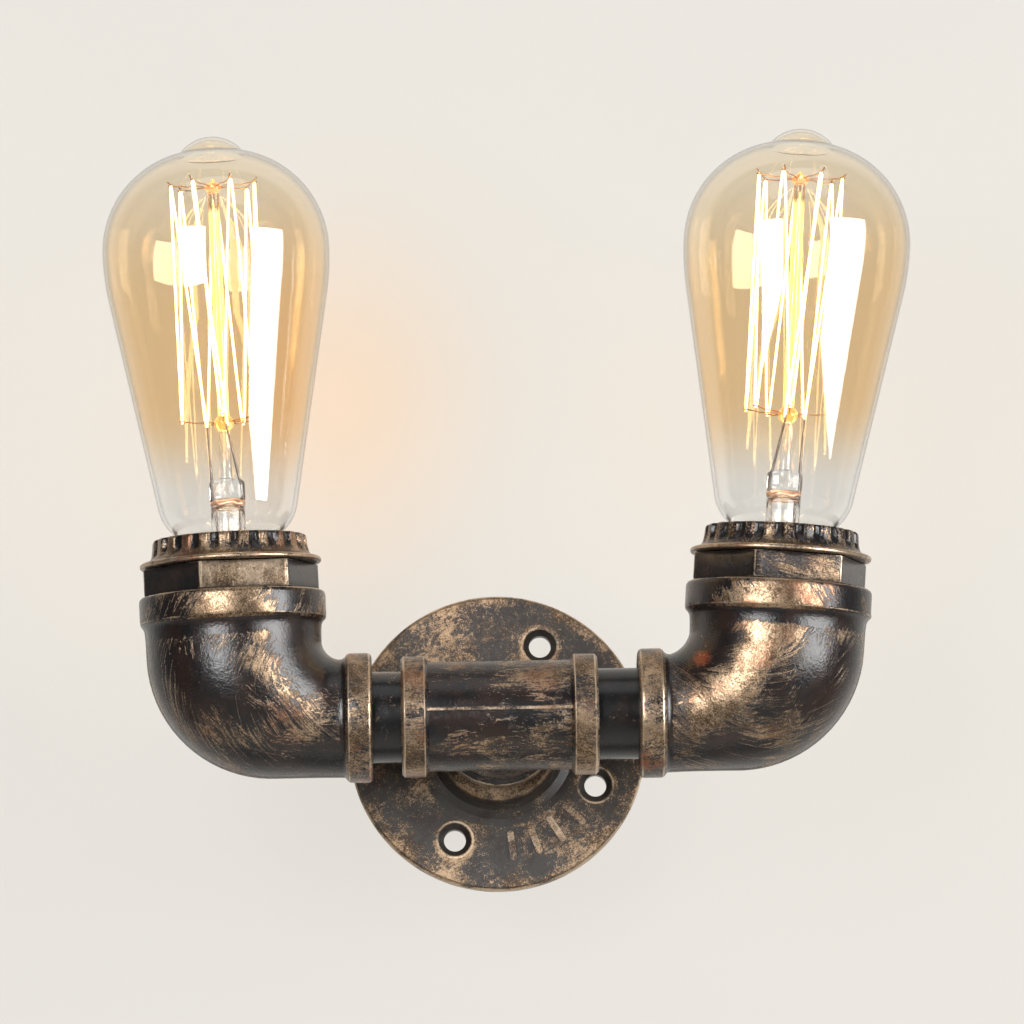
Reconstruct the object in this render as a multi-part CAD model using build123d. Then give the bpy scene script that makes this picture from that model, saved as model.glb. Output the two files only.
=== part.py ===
"""Twin-lamp pipe wall light: a round cast flange, a tee, two short pipes and two reducing elbows, each
elbow carrying a hexagonal collar, a porcelain lampholder, a knurled ring and a tall filament bulb.

Frame: millimetres, +Z up, +X to the viewer's right, the wall at Y = 0 and the viewer at -Y.
The origin is the centre of the flange's back face, where it meets the wall.
"""
from build123d import *
from math import atan2, cos, hypot, pi, radians, sin, sqrt, tan
import os

os.makedirs("parts", exist_ok=True)

# ---------------------------------------------------------------- driving dimensions
PIPE_OD = 25.8            # every short pipe
PIPE_BORE = 20.4
TURN_GAP = 0.05           # radial clearance where a pipe sits or turns in a fitting
SOCKET_DEPTH = 13.0       # how deep a fitting is bored for its pipe
PIPE_GRIP = 11.75         # how far a pipe reaches into a fitting
STANDOFF = 60.5           # wall to the axis of the pipe run

FLANGE_OD = 86.2
FLANGE_THICKNESS = 5.0
HUB_HEIGHT = 13.2         # wall to the front of the flange's hub
HUB_OD = 35.6
SCREW_CIRCLE = 62.0       # diameter of the circle of wall-screw holes
SCREW_HOLE = 6.4
SCREW_SINK = 9.6          # the rounded mouth of a screw hole
SCREW_HOLES = 4
FIRST_HOLE_ANGLE = -24.5  # degrees from +X, anticlockwise as seen from the front

TEE_HALF = 27.75          # centre of the tee to each open end
TEE_BODY_OD = 31.0
TEE_BAND_OD = 34.2
TEE_BAND_WIDTH = 6.6
FITTING_BORE = 24.0       # inside of the tee between its sockets

LEFT_PIPE_SHOWN = 8.2     # pipe left in view between tee and elbow
RIGHT_PIPE_SHOWN = 11.5

ELBOW_REACH = 38.0        # lamp axis to the elbow's pipe end
ELBOW_TOP = 35.6          # pipe axis to the elbow's lamp end
ELBOW_MOUTH_OD = 49.4     # body under the large band
ELBOW_BAND_OD = 52.8
ELBOW_BAND_HEIGHT = 8.2
ELBOW_NECK_OD = 33.2      # body beside the small band
ELBOW_NECK_BAND_OD = 36.6
ELBOW_NECK_BAND_WIDTH = 7.7
ELBOW_WALL = 3.4
ELBOW_HEEL_RADIUS = 34.5  # outer curve of the bend
ELBOW_THROAT_RADIUS = 4.0 # inner curve of the bend
ELBOW_MOUTH_BORE = 41.7
LEFT_SPLAY = 1.9          # degrees the lamp axis stands outwards of square to the run
RIGHT_SPLAY = 4.2
LAMP_LEAN = 3.8           # degrees the elbows are turned forwards from upright

HEX_ACROSS_FLATS = 43.6
HEX_TOP = 43.5            # pipe axis to the top of the hexagon
HEX_TURN = 10.7           # degrees the front flat is turned towards +X
COLLAR_BORE = 37.2
RING_OD = 43.6            # over the knurls
RING_TOP = 51.7
RING_BRIM_OD = 51.4
KNURLS = 24

BULB_OD = 64.6
BULB_TOP = 166.7          # pipe axis to the tip of the bulb
TIP_RADIUS = 11.5         # the rounded tip that stands on the dome
TIP_ROOT = 2.0            # hollow curve between tip and dome
DOME_OFFSET = 3.4         # how far the dome's arc is centred off the lamp axis
WIDEST = 133.8            # pipe axis to the bulb's widest level
FLANK_RADIUS = 75.0
GLASS_TAPER = 10.7        # degrees of the straight flank
HEEL_TOP = 60.5           # where the flank starts to turn in to the neck
HEEL_RADIUS = 13.0
HEEL_LIP = 58.0           # degrees the heel turns in below the flank
GLASS_NECK = 25.8
CAP_MOUTH = 43.0          # pipe axis to the foot of the glass, inside the cap
GLASS_WALL = 0.9
CAP_THREAD_OD = 26.2
CAP_PITCH = 3.63
CAP_FOOT = 20.0           # pipe axis to the bulb's centre contact
UPPER_HOOKS = 7
FIRST_HOOK_ANGLE = 250.0
FILAMENT_CIRCLE = 24.4    # diameter of the cage of filament strands
FILAMENT_WIRE = 0.5
TOP_HUB = 152.2
BOTTOM_HUB = 84.4
STEM_OD = 9.7
PRESS_LOW = 60.9          # flattened glass between tube and rod
PRESS_TOP = 68.1

LEAD_OD = 5.6             # sleeved pair of wires
CORE_OD = 1.8             # one wire out of the pair

# ---------------------------------------------------------------- worked-out positions
BORE_RADIUS = PIPE_OD / 2 + TURN_GAP
LEFT_AXIS = TEE_HALF + LEFT_PIPE_SHOWN + ELBOW_REACH
RIGHT_AXIS = TEE_HALF + RIGHT_PIPE_SHOWN + ELBOW_REACH
WALL_PIPE_SHOWN = STANDOFF - TEE_HALF - HUB_HEIGHT
HOOK_STEP = 360 / UPPER_HOOKS
LOWER_HOOKS = UPPER_HOOKS - 1


# ---------------------------------------------------------------- helpers
def turned(points, axis=Axis.Z):
    """A solid of revolution about Z from (radius, height) corners."""
    outline = Plane.XZ * make_face(Polyline(*points, close=True))
    return revolve(outline, axis, 360)


def turned_edges(edges):
    """A solid of revolution about Z from edges drawn in the XZ plane."""
    return revolve(make_face(Wire(edges)), Axis.Z, 360)


def rod(start, direction, length, diameter):
    """A round bar from start along direction."""
    foot = Plane(origin=start, z_dir=direction)
    return foot * Cylinder(diameter / 2, length, align=(Align.CENTER, Align.CENTER, Align.MIN))


def pipe(start, direction, length, outer, inner):
    """A round tube from start along direction."""
    return rod(start, direction, length, outer) - rod(start, direction, length, inner)


def bent_wire(points, diameter, bend):
    """A round wire along straight runs joined by tangent arcs."""
    path = FilletPolyline(*points, radius=bend)
    section = Plane(origin=path @ 0, z_dir=path % 0) * Circle(diameter / 2)
    return sweep(section, path=path)


# ---------------------------------------------------------------- wall flange and its pipe
def wall_flange():
    """Round plate with a tapered, bored hub, four screw holes and four plain raised bars."""
    rim = FLANGE_OD / 2
    hub = HUB_OD / 2
    seat = 3.4                      # depth of metal left behind the pipe's seat
    entry = FITTING_BORE / 2 - 0.8  # radius of the wire hole in the back
    hub_foot = hub + 4.6
    body = turned([
        (entry, 0), (rim - 0.4, 0), (rim, 0.4), (rim, FLANGE_THICKNESS - 0.9),
        (rim - 0.9, FLANGE_THICKNESS), (hub_foot, FLANGE_THICKNESS + 0.4),
        (hub + 2.2, FLANGE_THICKNESS + 1.4), (hub + 0.9, FLANGE_THICKNESS + 3.6),
        (hub, HUB_HEIGHT - 0.8), (hub - 0.8, HUB_HEIGHT), (BORE_RADIUS, HUB_HEIGHT),
        (BORE_RADIUS, seat), (entry, seat)])
    sink_depth = (SCREW_SINK - SCREW_HOLE) / 2
    for hole in range(SCREW_HOLES):
        at = Rot(0, 0, FIRST_HOLE_ANGLE + 360 / SCREW_HOLES * hole) * Pos(SCREW_CIRCLE / 2, 0, 0)
        body -= at * Cylinder(SCREW_HOLE / 2, 4 * FLANGE_THICKNESS)
        mouth = turned([(0, FLANGE_THICKNESS - sink_depth), (SCREW_HOLE / 2, FLANGE_THICKNESS - sink_depth),
                        (SCREW_SINK / 2, FLANGE_THICKNESS), (SCREW_SINK / 2, FLANGE_THICKNESS + 2),
                        (0, FLANGE_THICKNESS + 2)])
        body -= at * mouth
    bar_height = 0.9
    for angle in (-83, -70, -57, -44):
        place = Rot(0, 0, angle) * Pos(30.3, 0, FLANGE_THICKNESS - 0.3)
        body += place * extrude(SlotOverall(8.6, 1.9), bar_height)
    return Plane.XZ.location * body


def wall_pipe():
    """Short pipe from the flange's hub into the branch of the tee."""
    in_flange = 9.7
    start = HUB_HEIGHT - in_flange
    return pipe((0, -start, 0), (0, -1, 0), in_flange + WALL_PIPE_SHOWN + PIPE_GRIP, PIPE_OD, PIPE_BORE)


# ---------------------------------------------------------------- tee and run pipes
def tee():
    """Banded cast tee: the run along X, the branch towards the wall, the mould seam across the front."""
    edge = 0.8
    shoulder = 1.1
    body_radius = TEE_BODY_OD / 2
    band_radius = TEE_BAND_OD / 2
    end = turned([
        (0, 0), (body_radius, 0), (body_radius, TEE_HALF - TEE_BAND_WIDTH - shoulder),
        (band_radius, TEE_HALF - TEE_BAND_WIDTH), (band_radius, TEE_HALF - edge),
        (band_radius - edge, TEE_HALF), (0, TEE_HALF)])
    hollow = turned([
        (0, -1), (FITTING_BORE / 2, -1), (FITTING_BORE / 2, TEE_HALF - SOCKET_DEPTH),
        (BORE_RADIUS, TEE_HALF - SOCKET_DEPTH), (BORE_RADIUS, TEE_HALF + 1), (0, TEE_HALF + 1)])
    ways = [Rot(0, 90, 0), Rot(0, -90, 0), Rot(-90, 0, 0)]
    body = ways[0] * end + ways[1] * end + ways[2] * end
    seam_length = 2 * (TEE_HALF - TEE_BAND_WIDTH - shoulder) + 1
    body += Pos(0, -body_radius, 0) * Box(seam_length, 0.9, 1.1)
    for way in ways:
        body -= way * hollow
    return Pos(0, -STANDOFF, 0) * body


def run_pipe(side, shown):
    """Short pipe from the tee to one elbow; side is -1 for the left."""
    start = TEE_HALF - PIPE_GRIP
    return pipe((side * start, -STANDOFF, 0), (side, 0, 0), shown + 2 * PIPE_GRIP, PIPE_OD, PIPE_BORE)


# ---------------------------------------------------------------- the arm, in its own frame
# Origin where the pipe axis and the lamp axis cross, +X towards the tee, +Z up the lamp.
def splayed(degrees_out, piece):
    """A lamp-axis piece tipped outwards about the point where the axes cross."""
    return Rot(0, -degrees_out, 0) * piece


def heel_distance(corner_x, corner_z, turn):
    """From the throat's centre out to the far wall of the bend, at a turn in radians."""
    mouth = ELBOW_MOUTH_OD / 2
    neck = ELBOW_NECK_OD / 2
    centre_x = ELBOW_HEEL_RADIUS - mouth
    centre_z = ELBOW_HEEL_RADIUS - neck
    dx, dz = corner_x - centre_x, corner_z - centre_z
    along = dx * cos(turn) + dz * sin(turn)
    to_arc = along + sqrt(along ** 2 - dx ** 2 - dz ** 2 + ELBOW_HEEL_RADIUS ** 2)
    if corner_z - to_arc * sin(turn) > centre_z:
        return (corner_x + mouth) / cos(turn)
    if corner_x - to_arc * cos(turn) > centre_x:
        return (corner_z + neck) / sin(turn)
    return to_arc


def bend(splay, wall):
    """The swelling bend as a loft of round sections that fan about the throat, less a wall."""
    corner_x = ELBOW_MOUTH_OD / 2 + ELBOW_THROAT_RADIUS
    corner_z = ELBOW_NECK_OD / 2 + ELBOW_THROAT_RADIUS
    steps = 6
    sections = []
    for step in range(steps + 1):
        turn = radians(90 * step / steps)
        far = heel_distance(corner_x, corner_z, turn)
        middle = (far + ELBOW_THROAT_RADIUS) / 2
        radius = (far - ELBOW_THROAT_RADIUS) / 2 - wall
        centre = (corner_x - middle * cos(turn), 0, corner_z - middle * sin(turn))
        square = Plane(origin=centre, x_dir=(0, 1, 0), z_dir=(sin(turn), 0, -cos(turn)))
        sections.append(splayed(splay * (1 - step / steps), square) * Circle(radius))
    return loft(sections)


def elbow(splay):
    """Reducing cast elbow with a broad band at the lamp end and a narrow one at the pipe end."""
    mouth = ELBOW_MOUTH_OD / 2
    neck = ELBOW_NECK_OD / 2
    mouth_foot = neck + ELBOW_THROAT_RADIUS
    neck_foot = mouth + ELBOW_THROAT_RADIUS
    big = ELBOW_BAND_OD / 2
    small = ELBOW_NECK_BAND_OD / 2
    band_low = ELBOW_TOP - ELBOW_BAND_HEIGHT
    lamp_end = turned([
        (0, mouth_foot), (mouth, mouth_foot), (mouth + 0.2, band_low - 5), (big - 0.9, band_low - 0.3),
        (big, band_low + 0.8), (big, ELBOW_TOP - 1), (big - 1, ELBOW_TOP), (0, ELBOW_TOP)])
    small_low = ELBOW_REACH - ELBOW_NECK_BAND_WIDTH
    pipe_end = Rot(0, 90, 0) * turned([
        (0, neck_foot), (neck, neck_foot), (neck, small_low - 1.2), (small, small_low + 0.5),
        (small, ELBOW_REACH - 0.9), (small - 0.9, ELBOW_REACH), (0, ELBOW_REACH)])
    body = bend(splay, 0) + splayed(splay, lamp_end) + pipe_end
    body -= bend(splay, ELBOW_WALL)
    body -= splayed(splay, rod((0, 0, mouth_foot), (0, 0, 1), ELBOW_TOP, ELBOW_MOUTH_BORE))
    body -= rod((neck_foot, 0, 0), (1, 0, 0), ELBOW_REACH, 2 * BORE_RADIUS)
    return body


def hex_collar(turn):
    """Hexagonal collar screwed into the elbow; the knurled ring screws on its upper spigot."""
    spigot = ELBOW_MOUTH_BORE / 2 - TURN_GAP
    low = 24.0
    ledge = 26.0
    bore = COLLAR_BORE / 2
    body = turned([(0, low), (spigot - 0.6, low), (spigot, low + 0.6), (spigot, ELBOW_TOP), (0, ELBOW_TOP)])
    flats = extrude(RegularPolygon(HEX_ACROSS_FLATS / 2, 6, major_radius=False, rotation=30),
                    HEX_TOP - ELBOW_TOP)
    panel_height = HEX_TOP - ELBOW_TOP - 2
    panel_width = HEX_ACROSS_FLATS * tan(radians(30)) - 2
    for side in range(6):
        flats -= Rot(0, 0, 60 * side) * Pos(HEX_ACROSS_FLATS / 2, 0, (HEX_TOP - ELBOW_TOP) / 2) * Box(
            0.5, panel_width, panel_height)
    body += Pos(0, 0, ELBOW_TOP) * Rot(0, 0, turn - 90) * flats
    body += turned([(0, HEX_TOP), (19.65, HEX_TOP), (19.65, RING_TOP - 1.6), (19.1, RING_TOP - 1.1),
                    (0, RING_TOP - 1.1)])
    body -= turned([(0, low - 1), (16.5, low - 1), (16.5, ledge), (bore, ledge), (bore, RING_TOP), (0, RING_TOP)])
    return body


def knurled_ring():
    """Fluted ring with a flared brim that screws on the collar and holds the lampholder down."""
    low = HEX_TOP + 0.1
    outside = RING_OD / 2
    brim = RING_BRIM_OD / 2
    body = turned([
        (19.7, low), (brim - 0.5, low), (brim, low + 0.5), (brim, low + 1.2), (brim - 0.6, low + 1.7),
        (outside + 1.5, low + 2.0), (outside + 0.6, low + 2.7), (outside + 0.2, low + 3.6),
        (outside, RING_TOP - 0.6), (outside - 0.6, RING_TOP), (17.6, RING_TOP), (17.6, RING_TOP - 1),
        (19.7, RING_TOP - 1)])
    flute_radius = 1.5
    for knurl in range(KNURLS):
        place = Rot(0, 0, 360 / KNURLS * knurl) * Pos(outside + flute_radius - 0.75, 0, low + 3.0)
        body -= place * Cylinder(flute_radius, 10, align=(Align.CENTER, Align.CENTER, Align.MIN))
    return body


# ---------------------------------------------------------------- lampholder
def socket_body():
    """Porcelain body: a cup for the screw shell, with two terminal pockets underneath."""
    foot = 8.0
    ledge = 26.05
    cup_floor = 17.0
    top = RING_TOP - 1.05
    body = turned([
        (0, foot), (15.3, foot), (16.3, foot + 1), (16.3, ledge), (18.5, ledge), (18.5, top), (17.2, top),
        (14.05, 45), (14.05, 21), (12.4, 21), (12.4, cup_floor), (0, cup_floor)])
    for side in (-1, 1):
        body -= Pos(0, 9.5 * side, foot + 2.9) * Box(8.2, 7.2, 7.8)
    return body


def screw_shell():
    """Nickelled sleeve that the bulb's cap screws into, open over the centre contact."""
    return turned([(13.5, 21.1), (14.0, 21.1), (14.0, 44.9), (14.3, 45.7), (13.9, 45.9), (13.5, 45.1)])


def centre_contact():
    """Springy tongue, riveted to the cup's floor, that presses on the bulb's centre contact."""
    floor = 17.0
    thick = 0.5
    tongue = Plane.XZ * make_face(Polyline(
        (10, floor + 0.02), (10, floor + thick), (4.5, floor + thick), (1, CAP_FOOT - 0.1),
        (-3.5, CAP_FOOT - 0.1), (-3.5, CAP_FOOT - 0.1 - thick), (0.7, CAP_FOOT - 0.1 - thick),
        (4.2, floor + 0.02), close=True))
    strip = extrude(tongue, 2.5, both=True)
    rivet = rod((7.5, 0, floor + thick - 0.1), (0, 0, 1), 0.9, 3)
    return strip + rivet


def terminals():
    """Two brass terminal blocks in the pockets under the lampholder."""
    blocks = []
    for side in (-1, 1):
        block = Pos(0, 9.5 * side, 11) * Box(7.6, 6.6, 5.6)
        block -= rod((-1.6, 9.5 * side, 8), (0, 0, 1), 4, 3.0)
        blocks.append(block)
    return Compound(blocks)


def terminal_screws():
    """The slotted screw of each terminal block."""
    screws = []
    for side in (-1, 1):
        shank = rod((-1.6, 9.5 * side, 6.6), (0, 0, 1), 5.2, 2.9)
        head = rod((-1.6, 9.5 * side, 6.4), (0, 0, 1), 1.7, 4.6)
        screws.append(shank + head - Pos(-1.6, 9.5 * side, 6.4) * Box(6, 0.8, 1.4))
    return Compound(screws)


# ---------------------------------------------------------------- bulb
def outer_meeting(first, first_radius, second, second_radius):
    """Where two circles in the (radius, height) plane meet, on the side away from the axis."""
    dx, dz = second[0] - first[0], second[1] - first[1]
    apart = hypot(dx, dz)
    along = (apart ** 2 + first_radius ** 2 - second_radius ** 2) / (2 * apart)
    across = sqrt(first_radius ** 2 - along ** 2)
    return (first[0] + (along * dx - across * dz) / apart, first[1] + (along * dz + across * dx) / apart)


def bearing(centre, target):
    """Angle from straight up, turning outwards, of target as seen from centre."""
    return atan2(target[0] - centre[0], target[1] - centre[1])


def glass_outline(inset):
    """Edges of the envelope's half section, drawn inwards by inset: tip, dome, flank, heel and neck."""
    radius = BULB_OD / 2
    taper = radians(GLASS_TAPER)
    tip = (0, BULB_TOP - TIP_RADIUS)
    dome = (DOME_OFFSET, WIDEST)
    dome_radius = radius - DOME_OFFSET
    root = outer_meeting(tip, TIP_RADIUS + TIP_ROOT, dome, dome_radius + TIP_ROOT)
    tip_angle = bearing(tip, root)
    dome_angle = bearing(dome, root)
    flank = (radius - FLANK_RADIUS, WIDEST)
    flank_end = WIDEST - FLANK_RADIUS * sin(taper)
    flank_at_heel = flank[0] + FLANK_RADIUS * cos(taper) - (flank_end - HEEL_TOP) * tan(taper)
    heel = (flank_at_heel - HEEL_RADIUS * cos(taper), HEEL_TOP + HEEL_RADIUS * sin(taper))
    neck = GLASS_NECK / 2 - inset
    side, turned_in = pi / 2 + taper, pi / 2 + radians(HEEL_LIP)

    def at(centre, size, angle):
        return (centre[0] + size * sin(angle), 0, centre[1] + size * cos(angle))

    def arc(centre, size, start, end):
        return ThreePointArc(at(centre, size, start), at(centre, size, (start + end) / 2), at(centre, size, end))

    heel_end = at(heel, HEEL_RADIUS - inset, turned_in)
    neck_top = (neck, 0, heel_end[2] - (heel_end[0] - neck) / tan(radians(HEEL_LIP)))
    neck_foot = (neck, 0, CAP_MOUTH)
    return [
        arc(tip, TIP_RADIUS - inset, 0, tip_angle),
        arc(root, TIP_ROOT + inset, tip_angle + pi, dome_angle + pi),
        arc(dome, dome_radius - inset, dome_angle, pi / 2),
        arc(flank, FLANK_RADIUS - inset, pi / 2, side),
        Line(at(flank, FLANK_RADIUS - inset, side), at(heel, HEEL_RADIUS - inset, side)),
        arc(heel, HEEL_RADIUS - inset, side, turned_in),
        Line(heel_end, neck_top),
        Line(neck_top, neck_foot),
        Line(neck_foot, (0, 0, CAP_MOUTH)),
        Line((0, 0, CAP_MOUTH), at(tip, TIP_RADIUS - inset, 0)),
    ]


def bulb_glass():
    """Blown envelope: a domed, tapering shell with a hollow rounded tip, open at the neck."""
    inside = turned_edges(glass_outline(GLASS_WALL))
    inside += rod((0, 0, CAP_MOUTH - 1), (0, 0, 1), 4, GLASS_NECK - 2 * GLASS_WALL)
    return turned_edges(glass_outline(0)) - inside


def bulb_cap():
    """Rolled screw cap; its thread is drawn as level ridges."""
    crest = CAP_THREAD_OD / 2
    depth = 1.0
    mean = crest - depth / 2
    low = 25.5
    turns = 4
    edges = [Line((8.9, 0, 23.5), (10.2, 0, 23.5)), Line((10.2, 0, 23.5), (mean, 0, low))]
    for turn in range(turns):
        z = low + turn * CAP_PITCH
        edges.append(ThreePointArc((mean, 0, z), (crest, 0, z + CAP_PITCH / 4), (mean, 0, z + CAP_PITCH / 2)))
        edges.append(ThreePointArc((mean, 0, z + CAP_PITCH / 2), (crest - depth, 0, z + 3 * CAP_PITCH / 4),
                                   (mean, 0, z + CAP_PITCH)))
    top = low + turns * CAP_PITCH
    skirt = 46.4
    edges.append(Line((mean, 0, top), (crest, 0, top + 0.9)))
    edges.append(Line((crest, 0, top + 0.9), (crest + 0.1, 0, skirt)))
    edges.append(Line((crest + 0.1, 0, skirt), (12.92, 0, skirt)))
    edges.append(Line((12.92, 0, skirt), (12.92, 0, 42.9)))
    edges.append(Line((12.92, 0, 42.9), (11.7, 0, 42.9)))
    edges.append(Line((11.7, 0, 42.9), (11.7, 0, 25.3)))
    edges.append(Line((11.7, 0, 25.3), (8.9, 0, 25.3)))
    edges.append(Line((8.9, 0, 25.3), (8.9, 0, 23.5)))
    return turned_edges(edges)


def bulb_insulator():
    """Black glass disc between the cap and the centre contact."""
    return turned([(0, 21.4), (4.9, 21.4), (8.85, 23.4), (8.85, 25.3), (11.6, 25.3), (11.6, 26.2), (0, 26.2)])


def bulb_contact():
    """Domed solder button on the foot of the bulb."""
    return turned([(0, CAP_FOOT), (3.4, CAP_FOOT), (4.5, CAP_FOOT + 0.5), (4.7, 21.38), (0, 21.38)])


def bulb_stem():
    """Glass mount: flared tube, pinched press, centre rod and the two beads that carry the hooks."""
    tube = STEM_OD / 2
    wall = 0.8
    flare = turned([
        (11.7, 44.2), (11.7, 45.2), (7.0, 48.6), (tube, 52), (tube, PRESS_LOW - 1), (tube - 1.2, PRESS_LOW + 0.6),
        (0, PRESS_LOW + 0.6), (0, PRESS_LOW - 0.3), (tube - 1.8, PRESS_LOW - 0.3), (tube - wall, PRESS_LOW - 1.3),
        (tube - wall, 51.8), (6.4, 48), (10.4, 44.2)])
    press = extrude(Plane.XY.offset(PRESS_LOW - 0.5) * SlotOverall(10.2, 4.4), PRESS_TOP - PRESS_LOW + 0.5)
    press = chamfer(press.faces().sort_by(Axis.Z)[-1].edges(), 0.8)
    centre = rod((0, 0, PRESS_TOP - 0.5), (0, 0, 1), TOP_HUB + 0.5 - PRESS_TOP, 3.2)
    low_bead = turned([(0, -1.9), (1.7, -1.9), (2.7, -0.9), (2.7, 0.9), (1.7, 1.9), (0, 1.9)])
    high_bead = turned([(0, -1.2), (1.7, -1.2), (2.45, -0.5), (2.45, 0.6), (1.0, 1.4), (0.3, 2.6), (0, 2.6)])
    return flare + press + centre + Pos(0, 0, BOTTOM_HUB) * low_bead + Pos(0, 0, TOP_HUB) * high_bead


STRAIGHT_LEAD = ((-4.2, 0, PRESS_TOP + 0.1), (-4.8, 0, 83.3))
LEANING_LEAD = ((3.7, -0.4, PRESS_TOP + 0.1), (1.1, -3.6, 82.1))


def bulb_leads():
    """Two stout wires from the press up to the filament, and their tails down inside the tube."""
    wires = []
    for foot, head in (STRAIGHT_LEAD, LEANING_LEAD):
        way = Vector(*head) - Vector(*foot)
        wires.append(rod(foot, tuple(way), way.length, 0.8))
        tail_x = 3.3 if foot[0] > 0 else -3.3
        wires.append(rod((tail_x, 0, 27), (0, 0, 1), PRESS_LOW - 1.4 - 27, 0.7))
    return Compound(wires)


def cage_point(index, half_steps, z):
    """A point on the filament's circle beside hook number index, half_steps on towards the next."""
    angle = radians(FIRST_HOOK_ANGLE + HOOK_STEP * (index + half_steps / 2))
    return Vector(FILAMENT_CIRCLE / 2 * cos(angle), FILAMENT_CIRCLE / 2 * sin(angle), z)


def bulb_hooks():
    """The two sets of wire hooks, upper and lower, that stretch the filament."""
    hooks = []
    for count, half_steps, z, bead, rise in ((UPPER_HOOKS, 0, TOP_HUB, 2.5, 0.5),
                                             (LOWER_HOOKS, 1, BOTTOM_HUB, 2.75, 1.2)):
        for index in range(count):
            tip = cage_point(index, half_steps, z + rise)
            outward = Vector(tip.X, tip.Y, 0).normalized()
            start = outward * bead + Vector(0, 0, z)
            way = tip - outward * 0.5 - start
            hooks.append(rod(tuple(start), tuple(way), way.length, 0.36))
    return Compound(hooks)


def bulb_filament():
    """One glowing strand, from lead to lead, drawn up and down between the upper and the lower hooks."""
    high, low = TOP_HUB + 0.4, BOTTOM_HUB + 1.0
    half_width = 0.55
    route = [Vector(*LEANING_LEAD[1]) + Vector(0, 0, 0.7)]
    for index in range(UPPER_HOOKS):
        turns = [(0, high)] if index == LOWER_HOOKS else [(0, high), (1, low)]
        for half_steps, z in turns:
            hook = cage_point(index, half_steps, z)
            along = Vector(-hook.Y, hook.X, 0).normalized() * half_width
            route += [hook - along, hook + along]
    route.append(Vector(*STRAIGHT_LEAD[1]) + Vector(0, 0, 0.7))
    strands = []
    for start, end in zip(route, route[1:]):
        way = end - start
        strands.append(rod(tuple(start), tuple(way), way.length, FILAMENT_WIRE))
    corners = [Pos(*tuple(point)) * Sphere(FILAMENT_WIRE / 2) for point in route]
    return strands[0].fuse(*strands[1:], *corners)


# ---------------------------------------------------------------- wires
def elbow_lead():
    """Sleeved pair of wires from under the lampholder to the middle of the run pipe."""
    return rod((13.5, 0, 0), (1, 0, 0), ELBOW_REACH - 4 - 13.5, LEAD_OD)


def elbow_cores(splay):
    """The two wires between the sleeve's end and the terminals."""
    cores = []
    screw_side = 2.0 - 8 * tan(radians(splay))
    for side in (-1, 1):
        cores.append(bent_wire([(screw_side, 9.5 * side, 8.1), (screw_side, 9.5 * side, 3.2), (7.5, 5 * side, 0.2),
                                (10.6, 1.3 * side, 0), (13.4, 1.3 * side, 0)], CORE_OD, 1.2))
    return Compound(cores)


def run_lead(side, axis_distance):
    """Sleeved pair from the middle of a run pipe into the tee."""
    start = axis_distance - (ELBOW_REACH - 4) - 0.2
    inner_end = 9.0
    return rod((side * inner_end, -STANDOFF, 0), (side, 0, 0), start - inner_end, LEAD_OD)


def supply_lead():
    """Sleeved pair from the tee out to the flange's back face, where the house wiring joins."""
    front = STANDOFF - 9.5
    return rod((0, -0.6, 0), (0, -1, 0), front - 0.6, LEAD_OD)


def splice_caps():
    """Two crimped end caps in the tee, one for each pole."""
    return Compound([Pos(0, -STANDOFF, 6 * side) * Rot(90, 0, 0) * (
        Cylinder(2.6, 9) - Pos(0, 0, -1.2) * Cylinder(2.1, 9)) for side in (-1, 1)])


def splice_cores():
    """The wires that meet in the two end caps: one from each lamp and one from the supply, per pole."""
    cores = []
    mouth = -STANDOFF + 3.5
    for pole in (-1, 1):
        level = 6 * pole
        for side in (-1, 1):
            cores.append(bent_wire([
                (8.9 * side, -STANDOFF, 1.2 * pole), (6.4 * side, -STANDOFF, 1.6 * pole),
                (4.6 * side, mouth + 4.4, level - 1.6 * pole), (1.0 * side, mouth + 4.4, level - 0.6 * pole),
                (1.0 * side, mouth - 2, level - 0.6 * pole)], 1.5, 0.9))
        cores.append(bent_wire([
            (0, -STANDOFF + 9.4, 1.3 * pole), (0, -STANDOFF + 8.9, 1.3 * pole), (0, mouth + 2.6, level + 1.0 * pole),
            (0, mouth - 2, level + 1.0 * pole)], 1.5, 0.3))
    return Compound(cores)


# ---------------------------------------------------------------- assembly
def arm_pieces(turn, splay):
    """Every piece of one arm in the arm's frame; lamp-axis pieces are splayed with the elbow's mouth."""
    on_lamp_axis = {
        "hex_collar": hex_collar(turn),
        "knurled_ring": knurled_ring(),
        "socket_body": socket_body(),
        "screw_shell": screw_shell(),
        "centre_contact": centre_contact(),
        "terminals": terminals(),
        "terminal_screws": terminal_screws(),
        "bulb_glass": bulb_glass(),
        "bulb_cap": bulb_cap(),
        "bulb_insulator": bulb_insulator(),
        "bulb_contact": bulb_contact(),
        "bulb_stem": bulb_stem(),
        "bulb_leads": bulb_leads(),
        "bulb_hooks": bulb_hooks(),
        "bulb_filament": bulb_filament(),
    }
    pieces = {name: splayed(splay, piece) for name, piece in on_lamp_axis.items()}
    pieces["elbow"] = elbow(splay)
    pieces["lamp_lead"] = elbow_lead()
    pieces["lead_cores"] = elbow_cores(splay)
    return pieces


def place_arm(piece, side, axis_distance):
    """From the arm's frame to the light's: mirrored for the right, leaned forwards and set on the run."""
    if side > 0:
        piece = mirror(piece, about=Plane.YZ)
    return Pos(side * axis_distance, -STANDOFF, 0) * Rot(LAMP_LEAN, 0, 0) * piece


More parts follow.
